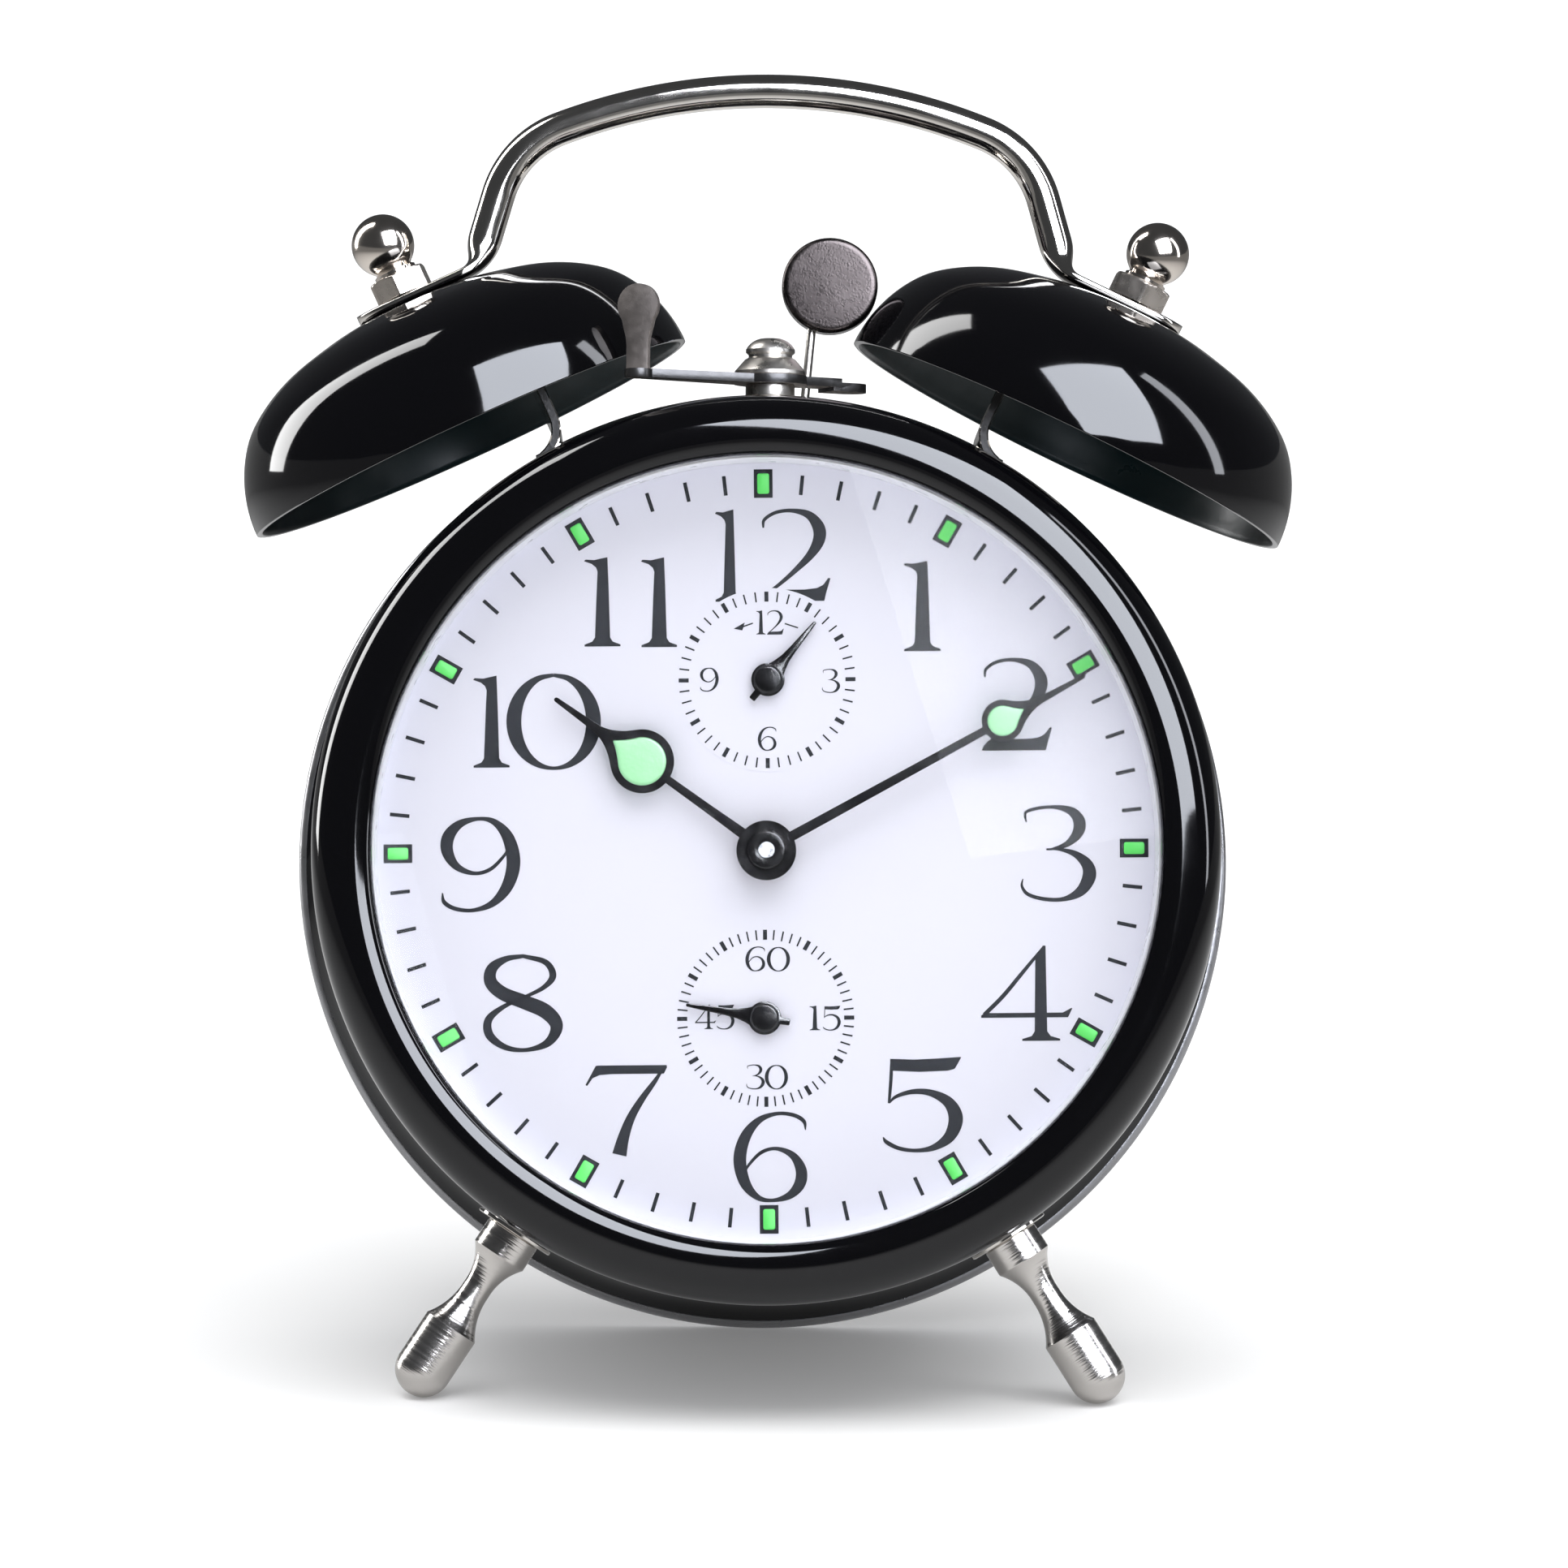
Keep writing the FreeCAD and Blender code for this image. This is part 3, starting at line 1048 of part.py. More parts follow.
winding_set("time", great, ga + math.pi, ga + math.pi + math.radians(216))
sa = math.atan2(STAR[1] - alarm_great[1], STAR[0] - alarm_great[0])
winding_set("alarm", alarm_great, sa, sa + math.radians(144))
star = []
for k in range(18):
    a = 2 * math.pi * k / 18
    star += [(8.0, a), (6.7, a + 0.10), (6.7, a + 0.25)]
feature("alarm_star_wheel", union([
    slab([(STAR[0] + r * math.cos(a), STAR[1] + r * math.sin(a)) for r, a in star], 11.0, 11.8),
    pinion(STAR[0], STAR[1], 8, M0, sa + math.pi + math.pi / 8, 14.3, 18.2),
    cyl(STAR[0], STAR[1], 0.8, pf0 + 0.1, pb1 - 0.1), cyl(STAR[0], STAR[1], 1.1, 11.8, 14.3)]))


def knob(cz, r, bore):
    body = Part.makeCylinder(r, 3.4, V(0, 50.5 - 1.8, cz), V(0, 1, 0))
    hub2 = Part.makeCylinder(r * 0.55, 0.0001 + 1.6, V(0, 50.5 + 1.6, cz), V(0, 1, 0))
    for k in range(20):
        a = 2 * math.pi * k / 20
        body = body.cut(Part.makeCylinder(0.38, 6, V((r + 0.1) * math.cos(a), 48.0, cz + (r + 0.1) * math.sin(a)), V(0, 1, 0)))
    return body.fuse(hub2).cut(Part.makeCylinder(bore, 1.8, V(0, 50.5 - 1.8, cz), V(0, 1, 0))).removeSplitter()


feature("time_set_knob", knob(0.0, S.knobrad.v, 1.0))
feature("alarm_set_knob", knob(S.alarmz.v, S.knobrad.v - 0.8, 0.8))

# ================================================================= hands
HOUR_A, MIN_A, SEC_A, ALM_A = -54.9, 60.7, 279.0, 38.8


def hand_draw(cz, angle, outline, bore, hub_r):
    """Outline points run along the hand (u) and across it (v), clockwise angle from 12."""
    a = math.radians(90.0 - angle)

    def tr(u, v):
        return (u * math.cos(a) - v * math.sin(a), cz + u * math.sin(a) + v * math.cos(a))
    left = [tr(u, v) for u, v in outline]
    right = [tr(u, -v) for u, v in reversed(outline)]
    return left + right


def hand(label, cz, angle, outline, bore, hub_r, y0):
    pts = hand_draw(cz, angle, outline, bore, hub_r)
    y1h = y0 + S.handthick.v
    s = union([slab(pts, y0, y1h), cyl(0, cz, hub_r, y0, y1h)])
    feature(label, s.cut(cyl(0, cz, bore, y0 - 2, y1h + 2)))


hand("minute_hand", 0.0, MIN_A, [(0, 1.6), (6, 1.35), (26, 2.1), (34, 1.9), (S.minutelong.v, 0.12)], 1.0, 3.65,
     S.minutelevel.v)
hand("hour_hand", 0.0, HOUR_A, [(0, 1.7), (5, 1.5), (15, 2.6), (20, 2.9), (S.hourlong.v, 0.12)], 2.1, 3.65,
     S.hourlevel.v)
hand("seconds_hand", S.secondz.v, SEC_A, [(-3.2, 0.45), (0, 0.5), (S.secondlong.v, 0.14)], 0.6, 2.1,
     S.smalllevel.v)
hand("alarm_hand", S.alarmz.v, ALM_A, [(-3.2, 0.55), (0, 0.6), (S.alarmlong.v, 0.14)], 0.8, 2.1,
     S.smalllevel.v)

# ================================================================= lean and place
doc.recompute()
bad = [(o.Name, o.getStatusString()) for o in doc.Objects if "Invalid" in o.State or "Error" in o.State]
if bad:
    raise RuntimeError("failed objects: %s" % bad)

# Rest: foot-end spheres and the round rear bead touch one plane.
fa = math.radians(FA)
rs = S.footrad.v
foot_c = (S.footy.v, -(S.foottip.v - rs) * math.cos(fa))
rim_c = (S.rimy.v, -(S.rimrad.v - S.rimbead.v))


def gap_at(beta):
    def low(c, r):
        return -c[0] * math.sin(beta) + c[1] * math.cos(beta) - r
    return low(foot_c, rs) - low(rim_c, S.rimbead.v)


lo_b, hi_b = 0.0, math.radians(40)
for _ in range(60):
    mid = (lo_b + hi_b) / 2
    if gap_at(mid) < 0:
        lo_b = mid
    else:
        hi_b = mid
beta = (lo_b + hi_b) / 2
lean_rot = FreeCAD.Rotation(V(1, 0, 0), -math.degrees(beta))


def place_all(shift):
    lean = FreeCAD.Placement(shift, lean_rot)
    for obj, label, local in PARTS:
        obj.Placement = lean.multiply(local)
    doc.recompute()


place_all(V(0, 0, 0))
box = FreeCAD.BoundBox()
for obj, label, local in PARTS:
    box.add(obj.Shape.optimalBoundingBox(True, False))
shift = V(-(box.XMin + box.XMax) / 2, -(box.YMin + box.YMax) / 2, -box.ZMin)
place_all(shift)
bad = [(o.Name, o.getStatusString()) for o in doc.Objects if "Invalid" in o.State or "Error" in o.State]
if bad:
    raise RuntimeError("failed objects: %s" % bad)

os.makedirs("parts", exist_ok=True)
box = FreeCAD.BoundBox()
names = set()
for obj, label, local in PARTS:
    shp = obj.Shape
    if shp.isNull() or not shp.isValid():
        raise RuntimeError("bad shape: " + label)
    if not shp.Solids or min(s.Volume for s in shp.Solids) <= 0:
        raise RuntimeError("no solid: " + label)
    if label in names:
        raise RuntimeError("label used twice: " + label)
    names.add(label)
    box.add(shp.optimalBoundingBox(True, False))
for obj, label, local in PARTS:
    obj.Shape.exportStep("parts/%s.step" % label)
    print("%-24s solids %d  volume %9.2f" % (label, len(obj.Shape.Solids), obj.Shape.Volume))
print("pieces", len(PARTS), "lean", round(math.degrees(beta), 3), "shift", shift)
print("box", [round(v, 3) for v in (box.XMin, box.YMin, box.ZMin, box.XMax, box.YMax, box.ZMax)])
print("arbors third", third, "fourth", fourth, "escape", escape, "pallet", pallet, "great", great,
      "alarm great", alarm_great, "star", STAR, "minute", minute_c)
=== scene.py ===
import json
import math
import random

import bmesh
import bpy
import numpy as np
from mathutils import Matrix, Vector

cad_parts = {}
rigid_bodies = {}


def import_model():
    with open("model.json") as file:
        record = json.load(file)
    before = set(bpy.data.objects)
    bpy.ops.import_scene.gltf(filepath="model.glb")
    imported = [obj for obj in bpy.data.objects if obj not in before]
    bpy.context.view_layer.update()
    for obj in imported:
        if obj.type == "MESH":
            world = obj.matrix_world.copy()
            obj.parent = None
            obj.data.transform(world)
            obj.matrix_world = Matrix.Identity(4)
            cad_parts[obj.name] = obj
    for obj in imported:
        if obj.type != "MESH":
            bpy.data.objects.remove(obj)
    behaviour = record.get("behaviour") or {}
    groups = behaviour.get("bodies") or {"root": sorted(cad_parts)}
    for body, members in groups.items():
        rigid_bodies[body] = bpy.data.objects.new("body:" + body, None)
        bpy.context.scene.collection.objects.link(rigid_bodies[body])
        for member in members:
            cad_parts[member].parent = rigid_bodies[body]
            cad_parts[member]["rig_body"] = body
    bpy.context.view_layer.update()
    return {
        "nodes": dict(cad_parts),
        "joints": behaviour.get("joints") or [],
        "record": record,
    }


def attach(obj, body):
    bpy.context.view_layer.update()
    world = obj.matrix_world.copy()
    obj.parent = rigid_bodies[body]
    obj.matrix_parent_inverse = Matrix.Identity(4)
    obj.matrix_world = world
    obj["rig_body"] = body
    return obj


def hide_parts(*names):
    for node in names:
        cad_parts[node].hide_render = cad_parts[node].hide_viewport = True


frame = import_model()
random.seed(7)
REC = frame["record"]
JOINT = {j["name"]: j for j in frame["joints"]}

# ------------------------------------------------------------------ the leaning clock frame
AX = Vector(JOINT["time_set_turn"]["axis"]).normalized()
BETA = math.atan2(-AX.z, AX.y)
ORG = Vector(JOINT["time_set_turn"]["pos_m"]) - AX * 0.020
M = Matrix.Translation(ORG) @ Matrix.Rotation(-BETA, 4, "X")


def to_row(p):
    return M @ (Vector(p) * 0.001)


# ------------------------------------------------------------------ materials
def new_mat(name):
    m = bpy.data.materials.new(name)
    m.use_nodes = True
    nt = m.node_tree
    b = nt.nodes["Principled BSDF"]
    return m, nt, b


def surface(name, color, rough=0.3, metal=0.0, spec=0.5, coat=0.0, coat_rough=0.05,
            rough_var=0.05, grain=300.0, bump=0.02, bump_scale=900.0, tint=0.06,
            stretch=(1, 1, 1), speck=0.0, speck_scale=2500.0, speck_color=(0.5, 0.5, 0.5), align=None):
    """A finish with slight colour drift, uneven gloss and fine relief."""
    m, nt, b = new_mat(name)
    N = nt.nodes
    L = nt.links
    tc = N.new("ShaderNodeTexCoord")
    mp = N.new("ShaderNodeMapping")
    mp.inputs["Scale"].default_value = stretch
    if align is not None:
        # turn the grain so that its Z runs along the piece's own axis
        vr = N.new("ShaderNodeVectorRotate")
        vr.rotation_type = "EULER_XYZ"
        vr.inputs["Rotation"].default_value = Vector(align).rotation_difference(Vector((0, 0, 1))).to_euler()
        L.new(tc.outputs["Object"], vr.inputs["Vector"])
        L.new(vr.outputs["Vector"], mp.inputs["Vector"])
    else:
        L.new(tc.outputs["Object"], mp.inputs["Vector"])
    n1 = N.new("ShaderNodeTexNoise")
    n1.inputs["Scale"].default_value = grain
    n1.inputs["Detail"].default_value = 5
    L.new(mp.outputs["Vector"], n1.inputs["Vector"])
    mr = N.new("ShaderNodeMapRange")
    mr.inputs["From Min"].default_value = 0.3
    mr.inputs["From Max"].default_value = 0.7
    mr.inputs["To Min"].default_value = max(0.0, rough - rough_var)
    mr.inputs["To Max"].default_value = rough + rough_var
    L.new(n1.outputs["Fac"], mr.inputs["Value"])
    L.new(mr.outputs["Result"], b.inputs["Roughness"])
    n2 = N.new("ShaderNodeTexNoise")
    n2.inputs["Scale"].default_value = bump_scale
    n2.inputs["Detail"].default_value = 3
    L.new(mp.outputs["Vector"], n2.inputs["Vector"])
    bp = N.new("ShaderNodeBump")
    bp.inputs["Strength"].default_value = bump
    bp.inputs["Distance"].default_value = 0.0002
    L.new(n2.outputs["Fac"], bp.inputs["Height"])
    L.new(bp.outputs["Normal"], b.inputs["Normal"])
    mix = N.new("ShaderNodeMix")
    mix.data_type = "RGBA"
    c0 = [c * (1 - tint) for c in color]
    c1 = [min(1.0, c * (1 + tint)) for c in color]
    mix.inputs["A"].default_value = (*c0, 1)
    mix.inputs["B"].default_value = (*c1, 1)
    n3 = N.new("ShaderNodeTexNoise")
    n3.inputs["Scale"].default_value = grain * 0.25
    L.new(tc.outputs["Object"], n3.inputs["Vector"])
    L.new(n3.outputs["Fac"], mix.inputs["Factor"])
    out = mix.outputs["Result"]
    if speck > 0:
        v = N.new("ShaderNodeTexVoronoi")
        v.inputs["Scale"].default_value = speck_scale
        L.new(tc.outputs["Object"], v.inputs["Vector"])
        cr = N.new("ShaderNodeMapRange")
        cr.inputs["From Min"].default_value = speck
        cr.inputs["From Max"].default_value = speck * 0.5
        cr.inputs["To Min"].default_value = 0.0
        cr.inputs["To Max"].default_value = 1.0
        L.new(v.outputs["Distance"], cr.inputs["Value"])
        mx = N.new("ShaderNodeMix")
        mx.data_type = "RGBA"
        mx.inputs["B"].default_value = (*speck_color, 1)
        L.new(out, mx.inputs["A"])
        L.new(cr.outputs["Result"], mx.inputs["Factor"])
        out = mx.outputs["Result"]
    L.new(out, b.inputs["Base Color"])
    b.inputs["Metallic"].default_value = metal
    b.inputs["Specular IOR Level"].default_value = spec
    if coat:
        b.inputs["Coat Weight"].default_value = coat
        b.inputs["Coat Roughness"].default_value = coat_rough
    return m


MAT = {
    "lacquer": surface("black_lacquer", (0.0022, 0.0022, 0.0030), rough=0.06, rough_var=0.02, spec=0.40,
                       grain=160, bump=0.012, bump_scale=420, tint=0.15),
    "lacquer_in": surface("bell_inside_paint", (0.0045, 0.0175, 0.0215), rough=0.34, rough_var=0.08, spec=0.35,
                          grain=200, bump=0.08, bump_scale=900, tint=0.2),
    "satin_black": surface("black_satin_paint", (0.012, 0.012, 0.013), rough=0.34, rough_var=0.06, spec=0.4,
                           grain=400, bump=0.10, bump_scale=2600, tint=0.15),
    "chrome": surface("bright_nickel", (0.66, 0.63, 0.59), rough=0.09, rough_var=0.03, metal=1.0,
                      grain=260, bump=0.01, bump_scale=700, tint=0.03),
    "nickel": surface("satin_nickel", (0.50, 0.475, 0.44), rough=0.30, rough_var=0.07, metal=1.0,
                      grain=500, bump=0.05, bump_scale=2200, tint=0.06),
    "nickel_dark": surface("dull_nickel", (0.33, 0.315, 0.295), rough=0.42, rough_var=0.08, metal=1.0,
                           grain=600, bump=0.09, bump_scale=2600, tint=0.08),
    # hammer disc: satin nickel with its colour cut almost to black, painted shade
    "hammer_shade_nickel": surface("hammer_nickel_painted_shade", (0.058, 0.050, 0.049), rough=0.28, rough_var=0.05, metal=1.0,
                             grain=1300, bump=0.13, bump_scale=3800, tint=0.30),
    "paddle": surface("stop_paddle_nickel", (0.24, 0.215, 0.20), rough=0.46, rough_var=0.05, metal=0.95,
                      grain=900, bump=0.10, bump_scale=3800, tint=0.16),
    # near-black finish for the lever's low side faces: painted shade where they face down and away from the lamps
    "lever_side_shade": surface("lever_side_painted_shade", (0.045, 0.044, 0.045), rough=0.32, rough_var=0.06, metal=0.6,
                          grain=900, bump=0.08, bump_scale=2200, tint=0.15),
    "steel": surface("turned_steel", (0.42, 0.42, 0.43), rough=0.28, rough_var=0.08, metal=1.0,
                     grain=700, bump=0.06, bump_scale=3000, tint=0.06, stretch=(1, 0.15, 1)),
    "finial_nickel": surface("finial_nickel", (0.64, 0.585, 0.53), rough=0.13, rough_var=0.04, metal=1.0,
                             grain=320, bump=0.02, bump_scale=900, tint=0.05),
    "nut_nickel": surface("nut_nickel", (0.52, 0.475, 0.43), rough=0.27, rough_var=0.05, metal=1.0,
                          grain=500, bump=0.04, bump_scale=1800, tint=0.08),
    "rough_edge": surface("sheared_steel_edge", (0.032, 0.031, 0.031), rough=0.40, rough_var=0.10, metal=0.5,
                          grain=900, bump=0.16, bump_scale=2200, tint=0.2, speck=0.2, speck_scale=1500,
                          speck_color=(0.07, 0.068, 0.066)),
    "brass": surface("movement_brass", (0.62, 0.46, 0.19), rough=0.27, rough_var=0.07, metal=1.0,
                     grain=500, bump=0.05, bump_scale=2600, tint=0.06, stretch=(1, 1, 0.08)),
    "key_brass": surface("key_brass", (0.66, 0.50, 0.22), rough=0.18, rough_var=0.05, metal=1.0,
                         grain=300, bump=0.03, bump_scale=1200, tint=0.05),
    "blued": surface("blued_spring", (0.10, 0.12, 0.19), rough=0.3, rough_var=0.06, metal=1.0,
                     grain=400, bump=0.03, bump_scale=1500, tint=0.15),
    "dial": surface("dial_enamel", (0.71, 0.71, 0.80), rough=0.46, rough_var=0.05, spec=0.25,
                    grain=500, bump=0.03, bump_scale=2600, tint=0.006),
    "print": surface("dial_print", (0.011, 0.0125, 0.016), rough=0.42, rough_var=0.06, spec=0.12,
                     grain=900, bump=0.04, bump_scale=3000, tint=0.2),
    "lume": surface("lume_green", (0.115, 0.78, 0.135), rough=0.5, rough_var=0.06, spec=0.3,
                    grain=900, bump=0.08, bump_scale=3500, tint=0.06),
    "lume_hand": surface("lume_green_pale", (0.35, 0.76, 0.41), rough=0.35, rough_var=0.06, spec=0.4,
                         grain=500, bump=0.10, bump_scale=1800, tint=0.10),
    "white_ring": surface("white_ring", (0.78, 0.79, 0.83), rough=0.3, rough_var=0.04, spec=0.4,
                          grain=400, bump=0.02, bump_scale=1500, tint=0.02),
    "hand_black": surface("hand_black", (0.005, 0.005, 0.006), rough=0.16, rough_var=0.05, spec=0.5,
                          grain=500, bump=0.05, bump_scale=2000, tint=0.2),
}
# the window over the dial
gm, gnt, gb = new_mat("clear_window")
gb.inputs["Base Color"].default_value = (1, 1, 1, 1)
gb.inputs["Transmission Weight"].default_value = 1.0
gb.inputs["IOR"].default_value = 1.12
gn = gnt.nodes.new("ShaderNodeTexNoise")
gn.inputs["Scale"].default_value = 60
gr = gnt.nodes.new("ShaderNodeMapRange")
gr.inputs["To Min"].default_value = 0.0
gr.inputs["To Max"].default_value = 0.02
gtc = gnt.nodes.new("ShaderNodeTexCoord")
gnt.links.new(gtc.outputs["Object"], gn.inputs["Vector"])
gnt.links.new(gn.outputs["Fac"], gr.inputs["Value"])
gnt.links.new(gr.outputs["Result"], gb.inputs["Roughness"])
gtr = gnt.nodes.new("ShaderNodeBsdfTransparent")
glp = gnt.nodes.new("ShaderNodeLightPath")
gmx = gnt.nodes.new("ShaderNodeMixShader")
gadd = gnt.nodes.new("ShaderNodeMath")
gadd.operation = "MAXIMUM"
gnt.links.new(glp.outputs["Is Shadow Ray"], gadd.inputs[0])
gnt.links.new(glp.outputs["Is Diffuse Ray"], gadd.inputs[1])
gnt.links.new(gadd.outputs["Value"], gmx.inputs["Fac"])
gout = gnt.nodes["Material Output"]
gnt.links.new(gb.outputs["BSDF"], gmx.inputs[1])
gnt.links.new(gtr.outputs["BSDF"], gmx.inputs[2])
gnt.links.new(gmx.outputs["Shader"], gout.inputs["Surface"])
MAT["glass"] = gm


# ------------------------------------------------------------------ mesh helpers
def make(name, verts, faces, mats, body, slot=None, replaces=(), smooth=35.0, mat_index=None, raw=False):
    """verts in clock millimetres (or row metres when raw)."""
    me = bpy.data.meshes.new(name)
    co = [tuple(v) if raw else tuple(to_row(v)) for v in verts]
    me.from_pydata(co, [], [tuple(f) for f in faces])
    me.validate()
    if not isinstance(mats, (list, tuple)):
        mats = [mats]
    for m in mats:
        me.materials.append(m)
    if mat_index is not None and len(mat_index) == len(me.polygons):
        me.polygons.foreach_set("material_index", mat_index)
    bm = bmesh.new()
    bm.from_mesh(me)
    bmesh.ops.recalc_face_normals(bm, faces=bm.faces)
    bm.to_mesh(me)
    bm.free()
    me.polygons.foreach_set("use_smooth", [True] * len(me.polygons))
    me.set_sharp_from_angle(angle=math.radians(smooth))
    ob = bpy.data.objects.new(name, me)
    bpy.context.scene.collection.objects.link(ob)
    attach(ob, body)
    if replaces:
        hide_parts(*replaces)
    return ob


def arc2(c, r, a0, a1, n):
    """Points on a circle in the profile plane; angles in degrees."""
    return [(c[0] + r * math.cos(math.radians(a0 + (a1 - a0) * i / n)),
             c[1] + r * math.sin(math.radians(a0 + (a1 - a0) * i / n))) for i in range(n + 1)]


def three(p0, p1, p2, n):
    """Arc through three profile points."""
    ax, ay = p0
    bx, by = p1
    cx, cy = p2
    d = 2 * (ax * (by - cy) + bx * (cy - ay) + cx * (ay - by))
    ux = ((ax * ax + ay * ay) * (by - cy) + (bx * bx + by * by) * (cy - ay) + (cx * cx + cy * cy) * (ay - by)) / d
    uy = ((ax * ax + ay * ay) * (cx - bx) + (bx * bx + by * by) * (ax - cx) + (cx * cx + cy * cy) * (bx - ax)) / d
    r = math.hypot(ax - ux, ay - uy)
    a0 = math.atan2(ay - uy, ax - ux)
    am = math.atan2(by - uy, bx - ux)
    a1 = math.atan2(cy - uy, cx - ux)
    span = (a1 - a0) % (2 * math.pi)
    if (am - a0) % (2 * math.pi) > span:
        span -= 2 * math.pi
    return [(ux + r * math.cos(a0 + span * i / n), uy + r * math.sin(a0 + span * i / n)) for i in range(n + 1)]


def soften(pts, r, n=3, closed=True):
    """Round the sharp corners of a profile by radius r."""
    out = []
    m = len(pts)
    for i in range(m):
        p = Vector(pts[i])
        if not closed and i in (0, m - 1):
            out.append(tuple(p))
            continue
        a = Vector(pts[(i - 1) % m])
        b = Vector(pts[(i + 1) % m])
        u, v = (a - p), (b - p)
        lu, lv = u.length, v.length
        if lu < 1e-6 or lv < 1e-6:
            continue
        u.normalize()
        v.normalize()
        ang = math.acos(max(-1, min(1, u.dot(v))))
        if ang > math.radians(150) or p[0] < 1e-6:
            out.append(tuple(p))
            continue
        d = min(r / math.tan(ang / 2), 0.45 * lu, 0.45 * lv)
        s, e = p + u * d, p + v * d
        for k in range(n + 1):
            t = k / n
            q = s * (1 - t) ** 2 + p * 2 * t * (1 - t) + e * t * t
            out.append(tuple(q))
    return out


def lathe(name, prof, mats, body, local=None, segs=192, closed=True, axis="Y", mat_of=None, **kw):
    """prof is a list of (r, axial). axis Y: axial runs along clock +Y; Z: along local +Z."""
    verts, ring = [], []
    for r, a in prof:
        if r < 1e-6:
            ring.append([len(verts)])
            verts.append((0, 0, a) if axis == "Z" else (0, a, 0))
        else:
            row = []
            for k in range(segs):
                t = 2 * math.pi * k / segs
                row.append(len(verts))
                if axis == "Z":
                    verts.append((r * math.cos(t), r * math.sin(t), a))
                else:
                    verts.append((r * math.cos(t), a, r * math.sin(t)))
            ring.append(row)
    faces, idx = [], []
    m = len(prof)
    for i in range(m if closed else m - 1):
        A, B = ring[i], ring[(i + 1) % m]
        mi = mat_of(prof[i], prof[(i + 1) % m]) if mat_of else 0
        if len(A) == 1 and len(B) == 1:
            continue
        for k in range(segs):
            k2 = (k + 1) % segs
            if len(A) == 1:
                faces.append((A[0], B[k], B[k2]))
            elif len(B) == 1:
                faces.append((A[k], B[0], A[k2]))
            else:
                faces.append((A[k], B[k], B[k2], A[k2]))
            idx.append(mi)
    if local is not None:
        verts = [tuple(local @ Vector(v)) for v in verts]
    return make(name, verts, faces, mats, body, mat_index=idx, **kw)


def loft(name, rings, mats, body, **kw):
    """Closed rings with equal counts joined into a skin, with both ends capped."""
    n = len(rings[0])
    verts = [p for r in rings for p in r]
    faces = []
    for i in range(len(rings) - 1):
        for k in range(n):
            k2 = (k + 1) % n
            faces.append((i * n + k, i * n + k2, (i + 1) * n + k2, (i + 1) * n + k))
    faces.append(tuple(range(n))[::-1])
    faces.append(tuple((len(rings) - 1) * n + k for k in range(n)))
    return make(name, verts, faces, mats, body, **kw)


def area2(poly):
    return 0.5 * sum(poly[i][0] * poly[(i + 1) % len(poly)][1] - poly[(i + 1) % len(poly)][0] * poly[i][1]
                     for i in range(len(poly)))


def prism(poly, y0, y1, edge=0.0):
    """Polygon in (x, z) drawn out along y with its front edge turned away. y0 is the front."""
    if area2(poly) < 0:
        poly = poly[::-1]
    n = len(poly)
    verts, faces = [], []

    def inset(d):
        res = []
        for i in range(n):
            p = Vector(poly[i])
            a = (p - Vector(poly[i - 1]))
            b = (Vector(poly[(i + 1) % n]) - p)
            na = Vector((-a.y, a.x)).normalized() if a.length > 1e-9 else Vector((0, 0))
            nb = Vector((-b.y, b.x)).normalized() if b.length > 1e-9 else na
            v = na + nb
            if v.length < 1e-6:
                v = na
            v.normalize()
            k = max(0.35, v.dot(nb))
            q = p + v * (d / k)
            res.append((q.x, q.y))
        return res
    levels = [(poly, y1)]
    if edge > 0:
        levels += [(poly, y0 + edge), (inset(edge * 0.35), y0 + edge * 0.3), (inset(edge), y0)]
    else:
        levels += [(poly, y0)]
    for ring, y in levels:
        verts += [(x, y, z) for x, z in ring]
    for i in range(len(levels) - 1):
        for k in range(n):
            k2 = (k + 1) % n
            faces.append((i * n + k, i * n + k2, (i + 1) * n + k2, (i + 1) * n + k))
    faces.append(tuple(range(n)))
    faces.append(tuple((len(levels) - 1) * n + k for k in range(n))[::-1])
    return verts, faces


def gather(parts):
    verts, faces = [], []
    for v, f in parts:
        o = len(verts)
        verts += v
        faces += [tuple(i + o for i in g) for g in f]
    return verts, faces


def frame_z(origin, direction):
    """Matrix whose local Z runs along direction, in clock millimetres."""
    d = Vector(direction).normalized()
    q = Vector((0, 0, 1)).rotation_difference(d)
    return Matrix.Translation(Vector(origin)) @ q.to_matrix().to_4x4()


# ------------------------------------------------------------------ case, glass, dial
def crown(a, b, r0, y0, n, lo=0.0, hi=90.0):
    """Quarter of an ellipse from the lip outwards and back to the side wall."""
    return [(r0 + a * math.sin(math.radians(lo + (hi - lo) * i / n)),
             y0 - b * math.cos(math.radians(lo + (hi - lo) * i / n))) for i in range(n + 1)]


bez_out = [(102.6 - r, y) for r, y in crown(2.4, 1.8, 51.3, -7.8, 14)][::-1] + crown(5.25, 5.4, 51.3, -4.2, 36)[1:]
bez_in = crown(4.5, 4.6, 51.3, -4.2, 30)[::-1] + [(50.3, -8.4), (49.65, -7.6)]
prof = bez_out + [(56.55, 3.7), (56.25, 4.0), (55.95, 4.0), (55.85, 3.85)] + bez_in + [(49.65, -6.05), (49.05, -6.0), (48.9, -6.15)]
lathe("bezel_shell", prof, MAT["lacquer"], "case", segs=256, slot="black_lacquer", replaces=["front_bezel"], smooth=50)

lathe("window", soften([(0, -6.0), (51.2, -6.0), (51.2, -4.5), (0, -4.5)], 0.15), MAT["glass"], "case",
      segs=192, slot="clear_lens", replaces=["lens"])

lathe("spacer_ring", soften([(48.75, -4.5), (54.6, -4.5), (54.6, 0.0), (48.35, 0.0)], 0.12), MAT["white_ring"],
      "case", segs=256, slot="white_plastic", replaces=["dial_spacer_ring"])


